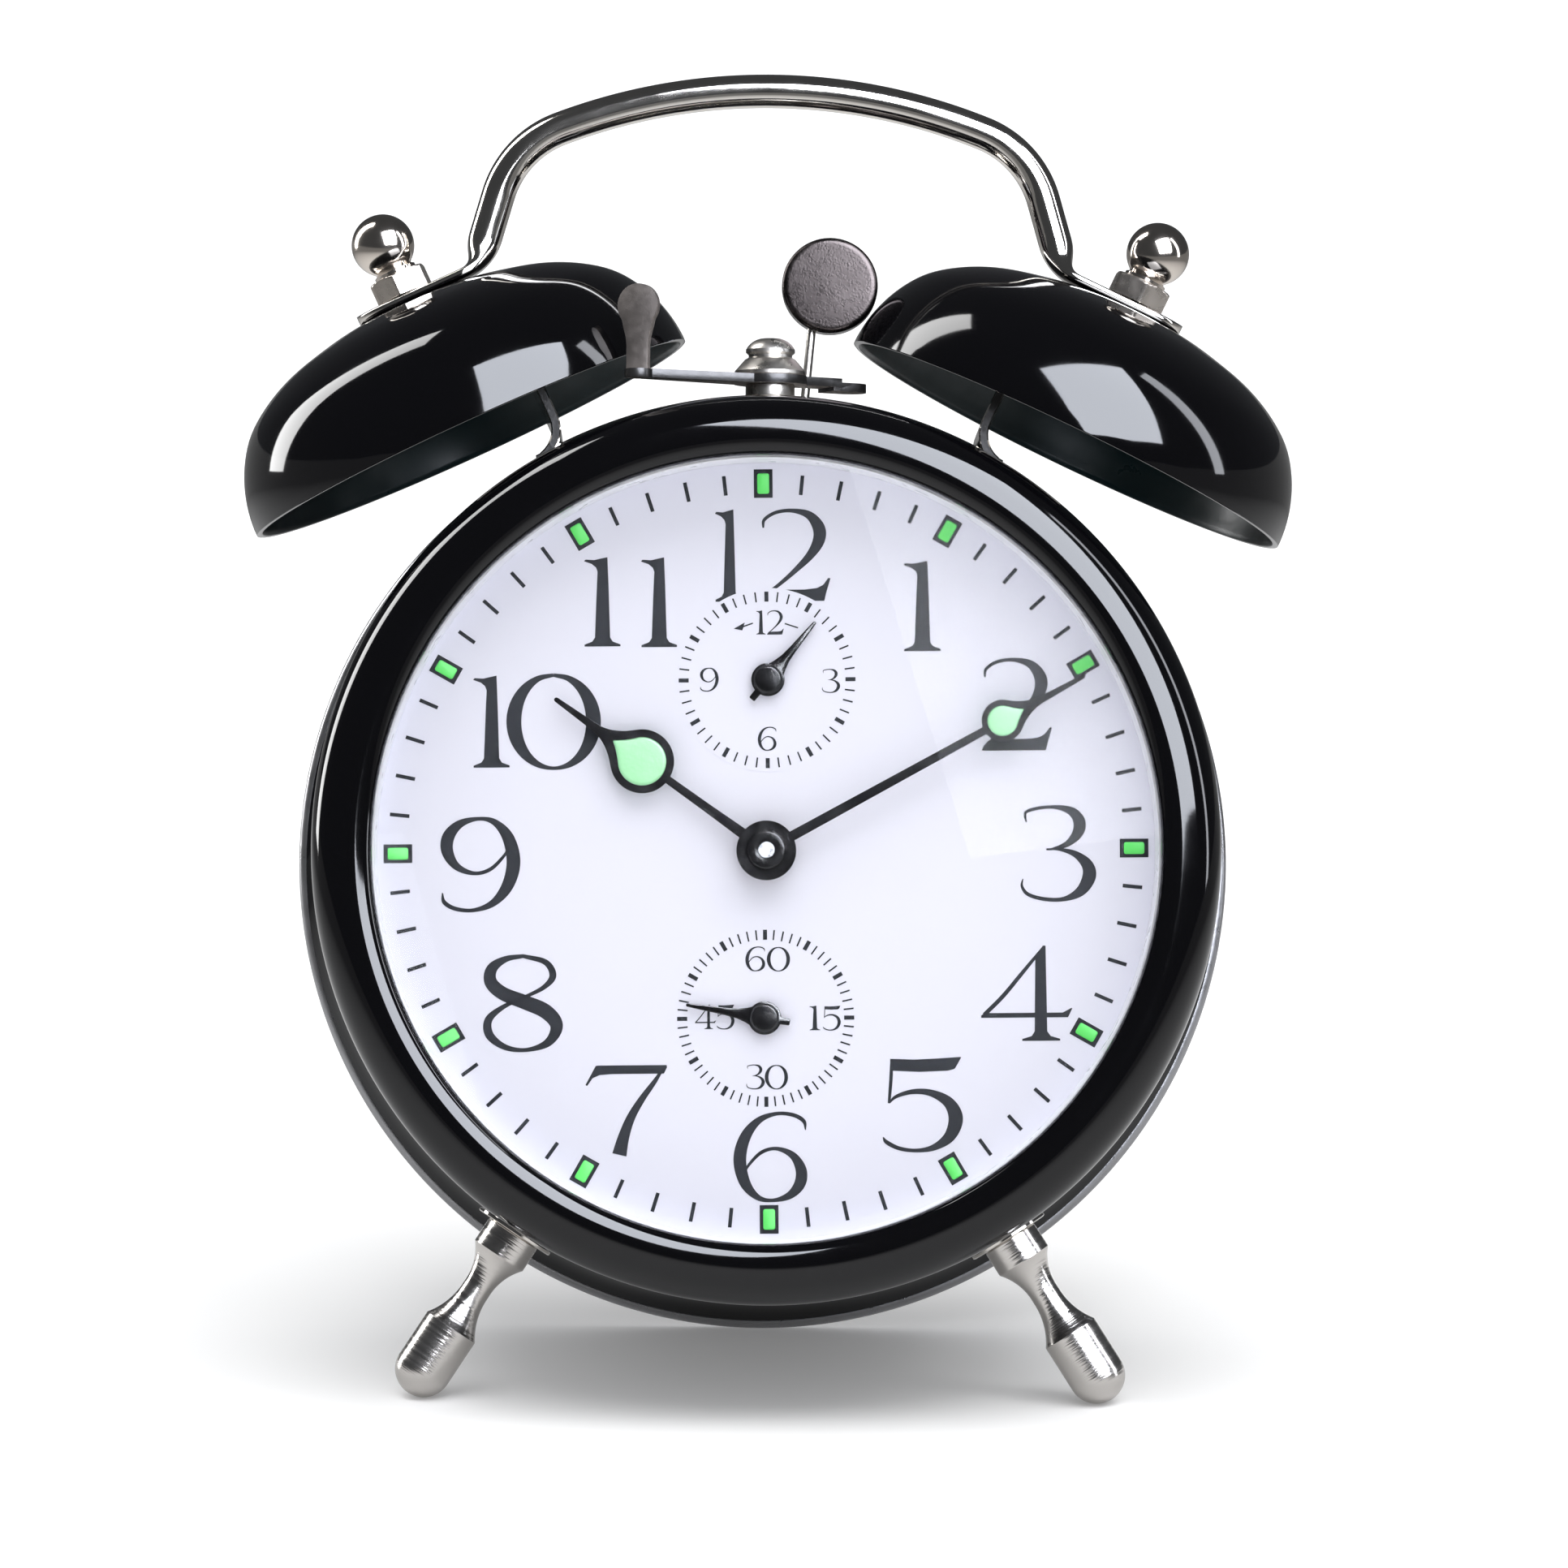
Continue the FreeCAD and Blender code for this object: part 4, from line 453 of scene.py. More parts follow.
def ring_plate(name, outer, holes, y0, y1, mat, body, **kw):
    bm = bmesh.new()
    loops = []
    for (cx, cz, r, n) in [(0, 0, outer, 256)] + holes:
        vs = [bm.verts.new((cx + r * math.cos(2 * math.pi * k / n), y0, cz + r * math.sin(2 * math.pi * k / n)))
              for k in range(n)]
        es = [bm.edges.new((vs[k], vs[(k + 1) % n])) for k in range(n)]
        loops.append(es)
    bmesh.ops.triangle_fill(bm, use_beauty=True, use_dissolve=False, edges=[e for l in loops for e in l])
    geom = bmesh.ops.extrude_face_region(bm, geom=bm.faces[:])
    for e in geom["geom"]:
        if isinstance(e, bmesh.types.BMVert):
            e.co.y = y1
    bm.verts.index_update()
    verts = [tuple(v.co) for v in bm.verts]
    faces = [tuple(v.index for v in f.verts) for f in bm.faces]
    bm.free()
    return make(name, verts, faces, mat, body, **kw)


ring_plate("dial_disc", 54.8, [(0, 0, 2.6, 48), (0, 21.3, 1.2, 32), (0, -20.8, 1.2, 32)], 0.0, 0.5, MAT["dial"],
           "case", slot="dial_white", replaces=["dial_plate"])

# drum with its stepped nose and flared rear edge
dp = [(55.0, 0.0), (55.7, 0.0), (55.7, 4.2), (56.05, 4.2), (56.2, 4.35), (56.2, 38.5)]
dp += three((56.2, 38.5), (56.75, 41.9), (59.0, 45.6), 10)[1:]
dp += [(58.0, 45.6)]
dp += three((58.0, 45.6), (56.1, 42.5), (55.5, 38.5), 10)[1:]
dp += [(55.5, 4.9), (55.0, 4.9)]
drum = lathe("drum_shell", dp, MAT["lacquer"], "case", segs=256, slot="black_lacquer", replaces=["case_drum"], smooth=40)

# rear cover with rolled rim; its openings are cut by modifiers
cp = [(0, 46.4), (58.0, 46.4)]
cp += three((58.0, 46.4), (58.293, 46.293), (59.0, 46.0), 4)[1:]
cp += three((59.0, 46.0), (60.0, 47.0), (59.0, 48.0), 16)[1:]
cp += three((59.0, 48.0), (58.293, 47.707), (58.0, 47.3), 4)[1:]
cp += [(0, 47.3)]
# the rolled rim gets a lighter grey metal than the black cover: a painted sheen along its edge
rim_sheen_mat = surface("rim_painted_sheen", (0.30, 0.30, 0.31), rough=0.32, rough_var=0.08, metal=0.85,
                  grain=300, bump=0.08, bump_scale=1500, tint=0.1)
cover = lathe("cover_disc", cp, [MAT["satin_black"], rim_sheen_mat], "case", segs=256, slot="black_satin",
              replaces=["rear_cover"], mat_of=lambda a, b: 1 if (a[0] + b[0]) / 2 > 58.6 else 0)


def cut_with(obj, cutters):
    """Openings made by a modifier; the cutters are joined in one hidden mesh."""
    v, f = gather(cutters)
    me = bpy.data.meshes.new(obj.name + "_cutter")
    me.from_pydata([tuple(to_row(p)) for p in v], [], f)
    bm = bmesh.new()
    bm.from_mesh(me)
    bmesh.ops.recalc_face_normals(bm, faces=bm.faces)
    bm.to_mesh(me)
    bm.free()
    me.materials.append(obj.data.materials[0])
    c = bpy.data.objects.new(obj.name + "_cutter", me)
    bpy.context.scene.collection.objects.link(c)
    c.hide_render = True
    c.hide_viewport = True
    md = obj.modifiers.new("openings", "BOOLEAN")
    md.object = c
    md.operation = "DIFFERENCE"
    md.solver = "EXACT"
    bpy.context.view_layer.update()
    dg = bpy.context.evaluated_depsgraph_get()
    done = bpy.data.meshes.new_from_object(obj.evaluated_get(dg))
    obj.modifiers.clear()
    obj.data = done
    bpy.data.objects.remove(c)
    done.polygons.foreach_set("use_smooth", [True] * len(done.polygons))
    done.set_sharp_from_angle(angle=math.radians(38))


def foot_finish(s):
    a = M.to_3x3() @ Vector((s * math.sin(math.radians(33)), 0, -math.cos(math.radians(33))))
    return surface("turned_foot_%s" % ("left" if s < 0 else "right"), (0.60, 0.575, 0.55), rough=0.20, rough_var=0.07,
                   metal=1.0, grain=260, bump=0.30, bump_scale=420, tint=0.06, stretch=(0.25, 0.25, 9.0), align=a)


def rod_prism(cx, cz, r, y0, y1, n=40):
    pts = [(cx + r * math.cos(2 * math.pi * k / n), cz + r * math.sin(2 * math.pi * k / n)) for k in range(n)]
    return prism(pts, y0, y1)


pc = 38.0 * math.sqrt(0.5)
PILLARS = [(pc, pc), (-pc, pc), (-pc, -pc), (pc, -pc)]
GREAT = (17.5482, 7.0193)
AGREAT = (-19.0, 8.0)
BAL = (22.0, -17.0)
holes = [(GREAT[0], GREAT[1], 2.6), (AGREAT[0], AGREAT[1], 2.6), (0, 0, 2.6), (0, 21.3, 2.6)]
holes += [(x, z, 1.25) for x, z in PILLARS]
for k in range(7):
    a = math.radians(205 + 11 * k)
    holes.append((47.5 * math.cos(a), 47.5 * math.sin(a), 1.6))
cuts = [rod_prism(x, z, r, 40.0, 52.0) for x, z, r in holes]
slot_pts = []
for k in range(25):
    a = math.radians(-25 - 25.2 + 50.4 * k / 24)
    slot_pts.append((BAL[0] + 10.8 * math.cos(a), BAL[1] + 10.8 * math.sin(a)))
for k in range(9):
    e = math.radians(-25 + 25.2)
    c = (BAL[0] + 9.5 * math.cos(e), BAL[1] + 9.5 * math.sin(e))
    a = e + math.pi * (k + 1) / 10
    slot_pts.append((c[0] + 1.3 * math.cos(a), c[1] + 1.3 * math.sin(a)))
for k in range(25):
    a = math.radians(-25 + 25.2 - 50.4 * k / 24)
    slot_pts.append((BAL[0] + 8.2 * math.cos(a), BAL[1] + 8.2 * math.sin(a)))
for k in range(9):
    e = math.radians(-25 - 25.2)
    c = (BAL[0] + 9.5 * math.cos(e), BAL[1] + 9.5 * math.sin(e))
    a = e + math.pi + math.pi * (k + 1) / 10
    slot_pts.append((c[0] + 1.3 * math.cos(a), c[1] + 1.3 * math.sin(a)))
cuts.append(prism(slot_pts, 40.0, 52.0))
cut_with(cover, cuts)


def block(x0, x1, y0, y1, z0, z1):
    v = [(x, y, z) for x in (x0, x1) for y in (y0, y1) for z in (z0, z1)]
    f = [(0, 1, 3, 2), (4, 6, 7, 5), (0, 4, 5, 1), (2, 3, 7, 6), (0, 2, 6, 4), (1, 5, 7, 3)]
    return v, f


def rod_block(mat4, r, z0, z1, n=32):
    v = []
    for z in (z0, z1):
        v += [tuple(mat4 @ Vector((r * math.cos(2 * math.pi * k / n), r * math.sin(2 * math.pi * k / n), z)))
              for k in range(n)]
    f = [(k, (k + 1) % n, n + (k + 1) % n, n + k) for k in range(n)] + [tuple(range(n))[::-1], tuple(range(n, 2 * n))]
    return v, f


FA = math.radians(33.0)
FOOT = {s: frame_z((0, 10.5, 0), (s * math.sin(FA), 0, -math.cos(FA))) for s in (-1, 1)}
cut_with(drum, [block(-6.2, 6.2, 22.5, 25.5, 50, 62), rod_block(frame_z((0, 10, 0), (0, 0, 1)), 1.5, 50, 60),
                rod_block(FOOT[-1], 1.5, 50, 60), rod_block(FOOT[1], 1.5, 50, 60)])

# ------------------------------------------------------------------ bells, bracket, handle
TILT = math.radians(25.2)
BELL = {s: Matrix.Translation((s * 37.8, 24.0, 52.9)) @ Matrix.Rotation(s * TILT, 4, "Y") for s in (-1, 1)}
br, bh, w = 30.0, 18.8, 0.9
bo = three((br, 0), (br - 1.05, 6.2), (br - 4.55, bh - 6.75), 16)
bo += three((br - 4.55, bh - 6.75), (br - 9.4, bh - 3.5), (br - 15.6, bh - 1.4), 14)[1:]
bo += three((br - 15.6, bh - 1.4), (br - 19.8, bh - 0.42), (br - 24.0, bh), 8)[1:]
bi = three((br - 24.0, bh - w), (br - 19.9, bh - 0.43 - w), (br - 15.8, bh - 1.4 - w), 8)
bi += three((br - 15.8, bh - 1.4 - w), (br - 9.95, bh - 3.5 - 0.72 * w), (br - 5.25, bh - 7.3), 14)[1:]
bi += three((br - 5.25, bh - 7.3), (br - 1.05 - w, 6.0), (br - w, 0), 16)[1:]


def relax(pts, rounds=4):
    """Even out the small kinks where two arcs meet; the ends stay."""
    p = [Vector(q) for q in pts]
    for _ in range(rounds):
        p = [p[0]] + [(p[i - 1] + p[i] * 2 + p[i + 1]) / 4 for i in range(1, len(p) - 1)] + [p[-1]]
    return [tuple(q) for q in p]


bo, bi = relax(bo), relax(bi)
bell_prof = [(br - 0.22, 0.0), (br - 0.05, 0.08)] + bo[1:] + [(2.05, bh), (2.05, bh - w)] + bi[:-1] + [(br - w + 0.03, 0.1), (br - w + 0.15, 0.0)]
n_out = len(bo) + 2


def bell_mat(a, b):
    am = ((a[0] + b[0]) / 2, (a[1] + b[1]) / 2)
    # the underside carries a thinner coat
    def side(p):
        best = min(range(len(bell_prof)), key=lambda i: (bell_prof[i][0] - p[0]) ** 2 + (bell_prof[i][1] - p[1]) ** 2)
        return best
    return 1 if side(a) > n_out and side(b) > n_out else 0


for s, nm in ((-1, "left"), (1, "right")):
    lathe(nm + "_bell_shell", bell_prof, [MAT["lacquer"], MAT["lacquer_in"]], "case", local=BELL[s], axis="Z",
          segs=256, slot="black_lacquer", replaces=[nm + "_bell"], mat_of=bell_mat, smooth=45)

ax2 = (math.sin(TILT), math.cos(TILT))
lat2 = (math.cos(TILT), -math.sin(TILT))


def on_bell(u, a):
    return Vector((37.8 + u * lat2[0] + a * ax2[0], 52.9 + u * lat2[1] + a * ax2[1]))


# bracket strip path (right half), then mirrored
PITCH = 57.0
span = math.radians(27.2)
ring_end = Vector((PITCH * math.sin(span), PITCH * math.cos(span)))
c_low, c_high, c_end = on_bell(-10.3, -2.0), on_bell(-10.3, 8.6), on_bell(6.5, 8.6)
tdir = Vector((math.cos(span), -math.sin(span)))
axv = Vector(ax2)
A2 = np.array([[tdir.x, -axv.x], [tdir.y, -axv.y]])
sol = np.linalg.solve(A2, np.array([(c_low - ring_end).x, (c_low - ring_end).y]))
knee = ring_end + tdir * float(sol[0])


def corner(p, c, n, r, k):
    u = (p - c).normalized()
    v = (n - c).normalized()
    ang = u.angle(v)
    d = r / math.tan(ang / 2)
    o = c + (u + v).normalized() * (r / math.sin(ang / 2))
    a = c + u * d - o
    b = c + v * d - o
    res = []
    for i in range(k + 1):
        t = i / k
        q = a.normalized().lerp(b.normalized(), t)
        # even steps on the arc
        th = a.angle(b)
        q = (a * math.sin((1 - t) * th) + b * math.sin(t * th)) / math.sin(th)
        res.append(o + q)
    return res


half = [Vector((PITCH * math.sin(span * i / 24), PITCH * math.cos(span * i / 24))) for i in range(25)]
half += corner(ring_end, knee, c_high, 4.2, 8) + corner(knee, c_high, c_end, 2.4, 8) + [c_end]
path = [Vector((-p.x, p.y)) for p in reversed(half[1:])] + half


def strip(path, th, y0, y1, ease=0.18):
    """A flat strip bent along a path in the (x, z) plane, its edges eased."""
    sec = [(-th / 2 + ease, y0), (th / 2 - ease, y0), (th / 2, y0 + ease), (th / 2, y1 - ease), (th / 2 - ease, y1),
           (-th / 2 + ease, y1), (-th / 2, y1 - ease), (-th / 2, y0 + ease)]
    rings = []
    for i, p in enumerate(path):
        a = path[max(0, i - 1)]
        b = path[min(len(path) - 1, i + 1)]
        t = (b - a).normalized()
        n = Vector((-t.y, t.x))
        rings.append([(p.x + n.x * q, y, p.y + n.y * q) for q, y in sec])
    return rings


strap = loft("bell_strap", strip(path, 1.2, 7.0, 33.0), [MAT["chrome"], MAT["rough_edge"]], "case",
             slot="nickel_chrome", replaces=["bell_bracket"], smooth=30)
for p in strap.data.polygons:
    nrm = p.normal
    if abs(nrm.dot(Vector((0, math.cos(BETA), -math.sin(BETA))))) > 0.9:
        p.material_index = 1
cut_with(strap, [block(-6.2, 6.2, 22.5, 25.5, 50, 62), rod_block(frame_z((0, 10, 0), (0, 0, 1)), 1.5, 50, 62)]
         + [rod_block(BELL[s], 2.0, 5.0, 12.0) for s in (-1, 1)])

pad_low, pad_top = 8.0, 9.2
tab_low, tab_top = 18.9, 20.25
nut_top = 23.1
both = (-1, 1)


def merged(name, objs, replaces, mats_ok=True):
    """Join like pieces into one object."""
    base = objs[0]
    bm = bmesh.new()
    for o in objs:
        bm.from_mesh(o.data)
    me = bpy.data.meshes.new(name)
    bm.to_mesh(me)
    bm.free()
    for m in base.data.materials:
        me.materials.append(m)
    body = base["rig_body"]
    for o in objs:
        bpy.data.objects.remove(o)
    ob = bpy.data.objects.new(name, me)
    bpy.context.scene.collection.objects.link(ob)
    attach(ob, body)
    if replaces:
        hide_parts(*replaces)
    me.set_sharp_from_angle(angle=math.radians(35))
    return ob


stud = soften([(0, pad_low - 1.4), (3.4, pad_low - 1.4), (3.4, pad_low), (2.0, pad_low), (2.0, nut_top + 1.2), (0, nut_top + 1.2)], 0.25)
merged("studs", [lathe("stud_%d" % s, stud, MAT["nickel"], "case", local=BELL[s], axis="Z", segs=48) for s in both],
       ["bell_studs"])
slv = soften([(2.0, pad_top), (3.4, pad_top), (3.4, bh - w), (2.0, bh - w)], 0.15)
merged("sleeves", [lathe("sleeve_%d" % s, slv, MAT["nickel"], "case", local=BELL[s], axis="Z", segs=48) for s in both],
       ["bell_sleeves"])


def hex_nut(name, local, flats, z0, z1, bore, turn, mat, body="case"):
    """Chamfered hexagon nut: the crown arcs of each flat come from a cone."""
    c = flats / math.sqrt(3)
    n = 96
    rings = []
    hgt = z1 - z0

    def hexr(t):
        a = (t - turn) % (math.pi / 3) - math.pi / 6
        return (flats / 2) / math.cos(a)
    for z in [z0, z0 + 0.04, z0 + hgt * 0.5, z1 - 0.75, z1 - 0.6, z1 - 0.45, z1 - 0.3, z1 - 0.15, z1 - 0.03, z1]:
        lim = c - 0.55 + (z1 - z) * 1.73 - (0.02 if z > z1 - 0.01 else 0)
        ring = []
        for k in range(n):
            t = 2 * math.pi * k / n + turn - math.pi / 6 + math.pi / 6
            r = min(hexr(t), lim, c - 0.06)
            if z < z0 + 0.01:
                r -= 0.05
            ring.append(tuple(local @ Vector((r * math.cos(t), r * math.sin(t), z))))
        rings.append(ring)
    inner = [[tuple(local @ Vector((bore * math.cos(2 * math.pi * k / n + turn), bore * math.sin(2 * math.pi * k / n + turn), z)))
              for k in range(n)] for z in (z1, z0)]
    rings += inner
    verts = [p for r in rings for p in r]
    faces = []
    m = len(rings)
    for i in range(m):
        for k in range(n):
            k2 = (k + 1) % n
            a, b = i, (i + 1) % m
            faces.append((a * n + k, a * n + k2, b * n + k2, b * n + k))
    return make(name, verts, faces, mat, body, smooth=24)


merged("hex_nuts", [hex_nut("nut_%d" % s, BELL[s], 7.0, tab_top, nut_top, 2.0, math.radians(90 + 8 * s), MAT["nut_nickel"])
                    for s in both], ["handle_hex_nuts"])
fin = [(2.0, nut_top + 1.2), (2.0, nut_top), (2.6, nut_top), (2.75, nut_top + 0.12), (2.75, nut_top + 0.5), (2.45, nut_top + 0.66)]
a_in = math.degrees(math.asin((nut_top + 1.02 - 27.2) / 4.0))
fin += [(2.35, nut_top + 0.75)]
ball = [(r, a) for r, a in arc2((0, 27.2), 4.0, max(a_in, -53), 90, 48) if r > 1e-4]
fin += ball + [(0, 31.2), (0, nut_top + 1.2)]
merged("finials", [lathe("ball_%d" % s, fin, MAT["finial_nickel"], "case", local=BELL[s], axis="Z", segs=96, smooth=60) for s in both],
       ["ball_finials"])

# handle: one tube, arched, with flattened ends; no holes are cut in them
AR, CR, AH, LS = 74.0, 13.0, math.radians(21.4), math.radians(74.0)
cz0 = 97.8 - AR
Apt = Vector((AR * math.sin(AH), cz0 + AR * math.cos(AH)))
C2 = Apt - Vector((math.sin(AH), math.cos(AH))) * CR
leg = Vector((math.cos(LS), -math.sin(LS)))
Bpt = C2 + Vector((math.sin(LS), math.cos(LS))) * CR
Lpt = Bpt + leg * 5.6
tab_mid = (tab_low + tab_top) / 2
spine = [Vector((AR * math.sin(AH * i / 28), cz0 + AR * math.cos(AH * i / 28))) for i in range(29)]
spine += [C2 + Vector((math.sin(AH + (LS - AH) * i / 24), math.cos(AH + (LS - AH) * i / 24))) * CR for i in range(1, 25)]
spine += [Bpt + leg * (5.6 * i / 5) for i in range(1, 6)]
n_round = len(spine)
low = on_bell(-8.6, tab_mid)
flat_dir = Vector(lat2)
# smooth blend of the spine from the leg into the tab's plane
p0, p3 = Lpt, on_bell(-7.6, tab_mid)
d0 = leg * 2.6
d3 = flat_dir * 2.4
for i in range(1, 15):
    t = i / 14
    spine.append(p0 * (1 - t) ** 3 + (p0 + d0) * 3 * t * (1 - t) ** 2 + (p3 - d3) * 3 * t * t * (1 - t) + p3 * t ** 3)
n_bend = len(spine)
tab_pts = [-7.0, -5.5, -4.0, -2.5, -1.0, 0.5, 1.5, 2.7, 3.6, 4.5, 5.2, 5.8, 6.2, 6.5, 6.72, 6.86]
for u in tab_pts:
    spine.append(on_bell(u, tab_mid))


def handle_rings(sgn):
    rings = []
    total = len(spine)
    for i, p in enumerate(spine):
        a = spine[max(0, i - 1)]
        b = spine[min(total - 1, i + 1)]
        t = (b - a).normalized()
        n = Vector((-t.y, t.x))
        hy, hn, pw = 2.15, 2.15, 1.0
        if i >= n_round:
            k = min(1.0, (i - n_round + 1) / (n_bend - n_round))
            k = k * k * (3 - 2 * k)
            hy = 2.15 + (4.2 - 2.15) * k
            hn = 2.15 + (0.675 - 2.15) * k
            pw = 1.0 - 0.62 * k
        if i >= n_bend:
            u = tab_pts[i - n_bend]
            hy = 4.2
            if u > 2.7:
                hy = math.sqrt(max(0.02, 4.2 ** 2 - (u - 2.7) ** 2))
            hn, pw = 0.675, 0.38
        ring = []
        for q in range(48):
            th = 2 * math.pi * q / 48
            cy, sn = math.cos(th), math.sin(th)
            yy = math.copysign(abs(cy) ** 1.0, cy) * hy
            lim = math.copysign(abs(sn) ** pw, sn) * hn
            ring.append((sgn * (p.x + n.x * lim), 24.0 + yy, p.y + n.y * lim))
        rings.append(ring)
    return rings


rr = handle_rings(1)
rl = handle_rings(-1)
allr = [r for r in reversed(rl[1:])]
full = []
for r in allr:
    full.append(r)
for r in rr:
    full.append(r)
handle = loft("carrying_handle", full, MAT["chrome"], "case", slot="nickel_chrome", replaces=["carry_handle"], smooth=50)

# ------------------------------------------------------------------ feet and washers
ft, fe, fr = 57.1, 81.1, 3.6
fp = [(0, 53.4), (1.35, 53.4), (1.45, 53.5), (1.45, ft), (fr - 0.2, ft), (fr, ft + 0.2), (fr, ft + 3.35)]
fp += three((fr, ft + 3.4), (2.0, ft + 6.6), (1.85, ft + 8.6), 14)
fp += three((1.85, ft + 8.6), (2.1, ft + 11.0), (fr, ft + 14.2), 14)[1:]
fp += [(fr, fe - fr)] + arc2((0, fe - fr), fr, 0, 90, 20)[1:-1] + [(0, fe)]
for s, nm in ((-1, "left"), (1, "right")):
    lathe(nm + "_foot_turned", fp, foot_finish(s), "case", local=FOOT[s], axis="Z", segs=96, slot="nickel_chrome",
          replaces=[nm + "_foot"], smooth=30)


def saddle(s):
    """Thin flat washer between the foot and the drum."""
    rings = []
    n = 64
    prof2 = [(1.5, 0), (5.0, 0), (5.3, 0.12), (5.3, 0.42), (5.1, 0.55), (1.5, 0.55)]
    verts = []
    for r, h in prof2:
        for k in range(n):
            t = 2 * math.pi * k / n
            u, v = r * math.cos(t), r * math.sin(t)
            z = ft - 0.55 + h
            verts.append(tuple(FOOT[s] @ Vector((u, v, z))))
    faces = []
    m = len(prof2)
    for i in range(m):
        for k in range(n):
            k2 = (k + 1) % n
            a, b = i, (i + 1) % m
            faces.append((a * n + k, a * n + k2, b * n + k2, b * n + k))
    return make("washer_%d" % s, verts, faces, MAT["chrome"], "case", smooth=30)


merged("washers", [saddle(s) for s in both], ["foot_washers"])

# ------------------------------------------------------------------ stop lever and its post
lt = 60.2
POST = Matrix.Translation((0, 10, 0))
pp = [(0, 53.4), (1.4, 53.4), (1.45, 53.5), (1.45, lt), (4.35, lt), (4.5, lt + 0.12), (4.48, lt + 0.55),
      (3.2, lt + 2.05), (3.1, lt + 2.1), (2.75, lt + 2.3), (2.75, lt + 2.6), (3.1, lt + 2.9), (3.1, lt + 3.3)]
pp += three((3.1, lt + 3.3), (2.3, lt + 4.25), (0.3, 64.9), 12)[1:] + [(0, 64.9)]
lathe("lever_post", pp, MAT["nickel"], "case", local=POST, axis="Z", segs=96, slot="nickel_satin",
      replaces=["lever_pivot_screw"], smooth=28)
lathe("lever_collar", soften([(1.5, 57.6), (3.1, 57.6), (3.1, 59.1), (1.5, 59.1)], 0.12), MAT["nickel"], "case",
      local=POST, axis="Z", segs=64, slot="nickel_satin", replaces=["lever_spacer"])
lever = frame["nodes"]["stop_lever"]

# ------------------------------------------------------------------ hammer
hh = soften([(0, -2.3), (6.1, -2.3), (6.1, 2.3), (0, 2.3)], 0.9, n=8)
HM = Matrix.Translation((7.6, 24.0, 72.9))
# its near-black nickel is painted shade
lathe("hammer_disc", hh, MAT["hammer_shade_nickel"], "hammer", local=HM, axis="Y", segs=96, slot="nickel_satin",
      replaces=["hammer_head"], smooth=28)
rd = Vector((math.sin(math.radians(5)), 0, math.cos(math.radians(5))))
RM = frame_z((2.6, 24.0, 36.0), rd)
lathe("hammer_wire", soften([(0, 1.0), (0.55, 1.0), (0.55, 35.4), (0, 35.4)], 0.1), MAT["nickel"], "hammer", local=RM,
      axis="Z", segs=32, slot="nickel_satin", replaces=["hammer_rod"], smooth=40)


# ------------------------------------------------------------------ dial print
def catmull(pts, k=7):
    """Smooth line through (x, y, half width) points."""
    P = [np.array(p, float) for p in pts]
    P = [2 * P[0] - P[1]] + P + [2 * P[-1] - P[-2]]
    out = []
    for i in range(1, len(P) - 2):
        a, b, c, d = P[i - 1], P[i], P[i + 1], P[i + 2]
        for j in range(k):
            t = j / k
            out.append(0.5 * (2 * b + (c - a) * t + (2 * a - 5 * b + 4 * c - d) * t * t + (3 * b - a - 3 * c + d) * t ** 3))
    out.append(P[-2])
    return out


def stroke(pts, k=7, loop=False):
    line = catmull(pts, k)
    left, right = [], []
    n = len(line)
    for i, p in enumerate(line):
        a = line[i - 1] if i > 0 else (line[-2] if loop else p)
        b = line[i + 1] if i < n - 1 else (line[1] if loop else p)
        t = (b - a)[:2]
        t = t / max(1e-9, np.hypot(*t))
        nrm = np.array([-t[1], t[0]])
        h = max(0.004, p[2])
        left.append(p[:2] + nrm * h)
        right.append(p[:2] - nrm * h)
    return [tuple(p) for p in left + right[::-1]]


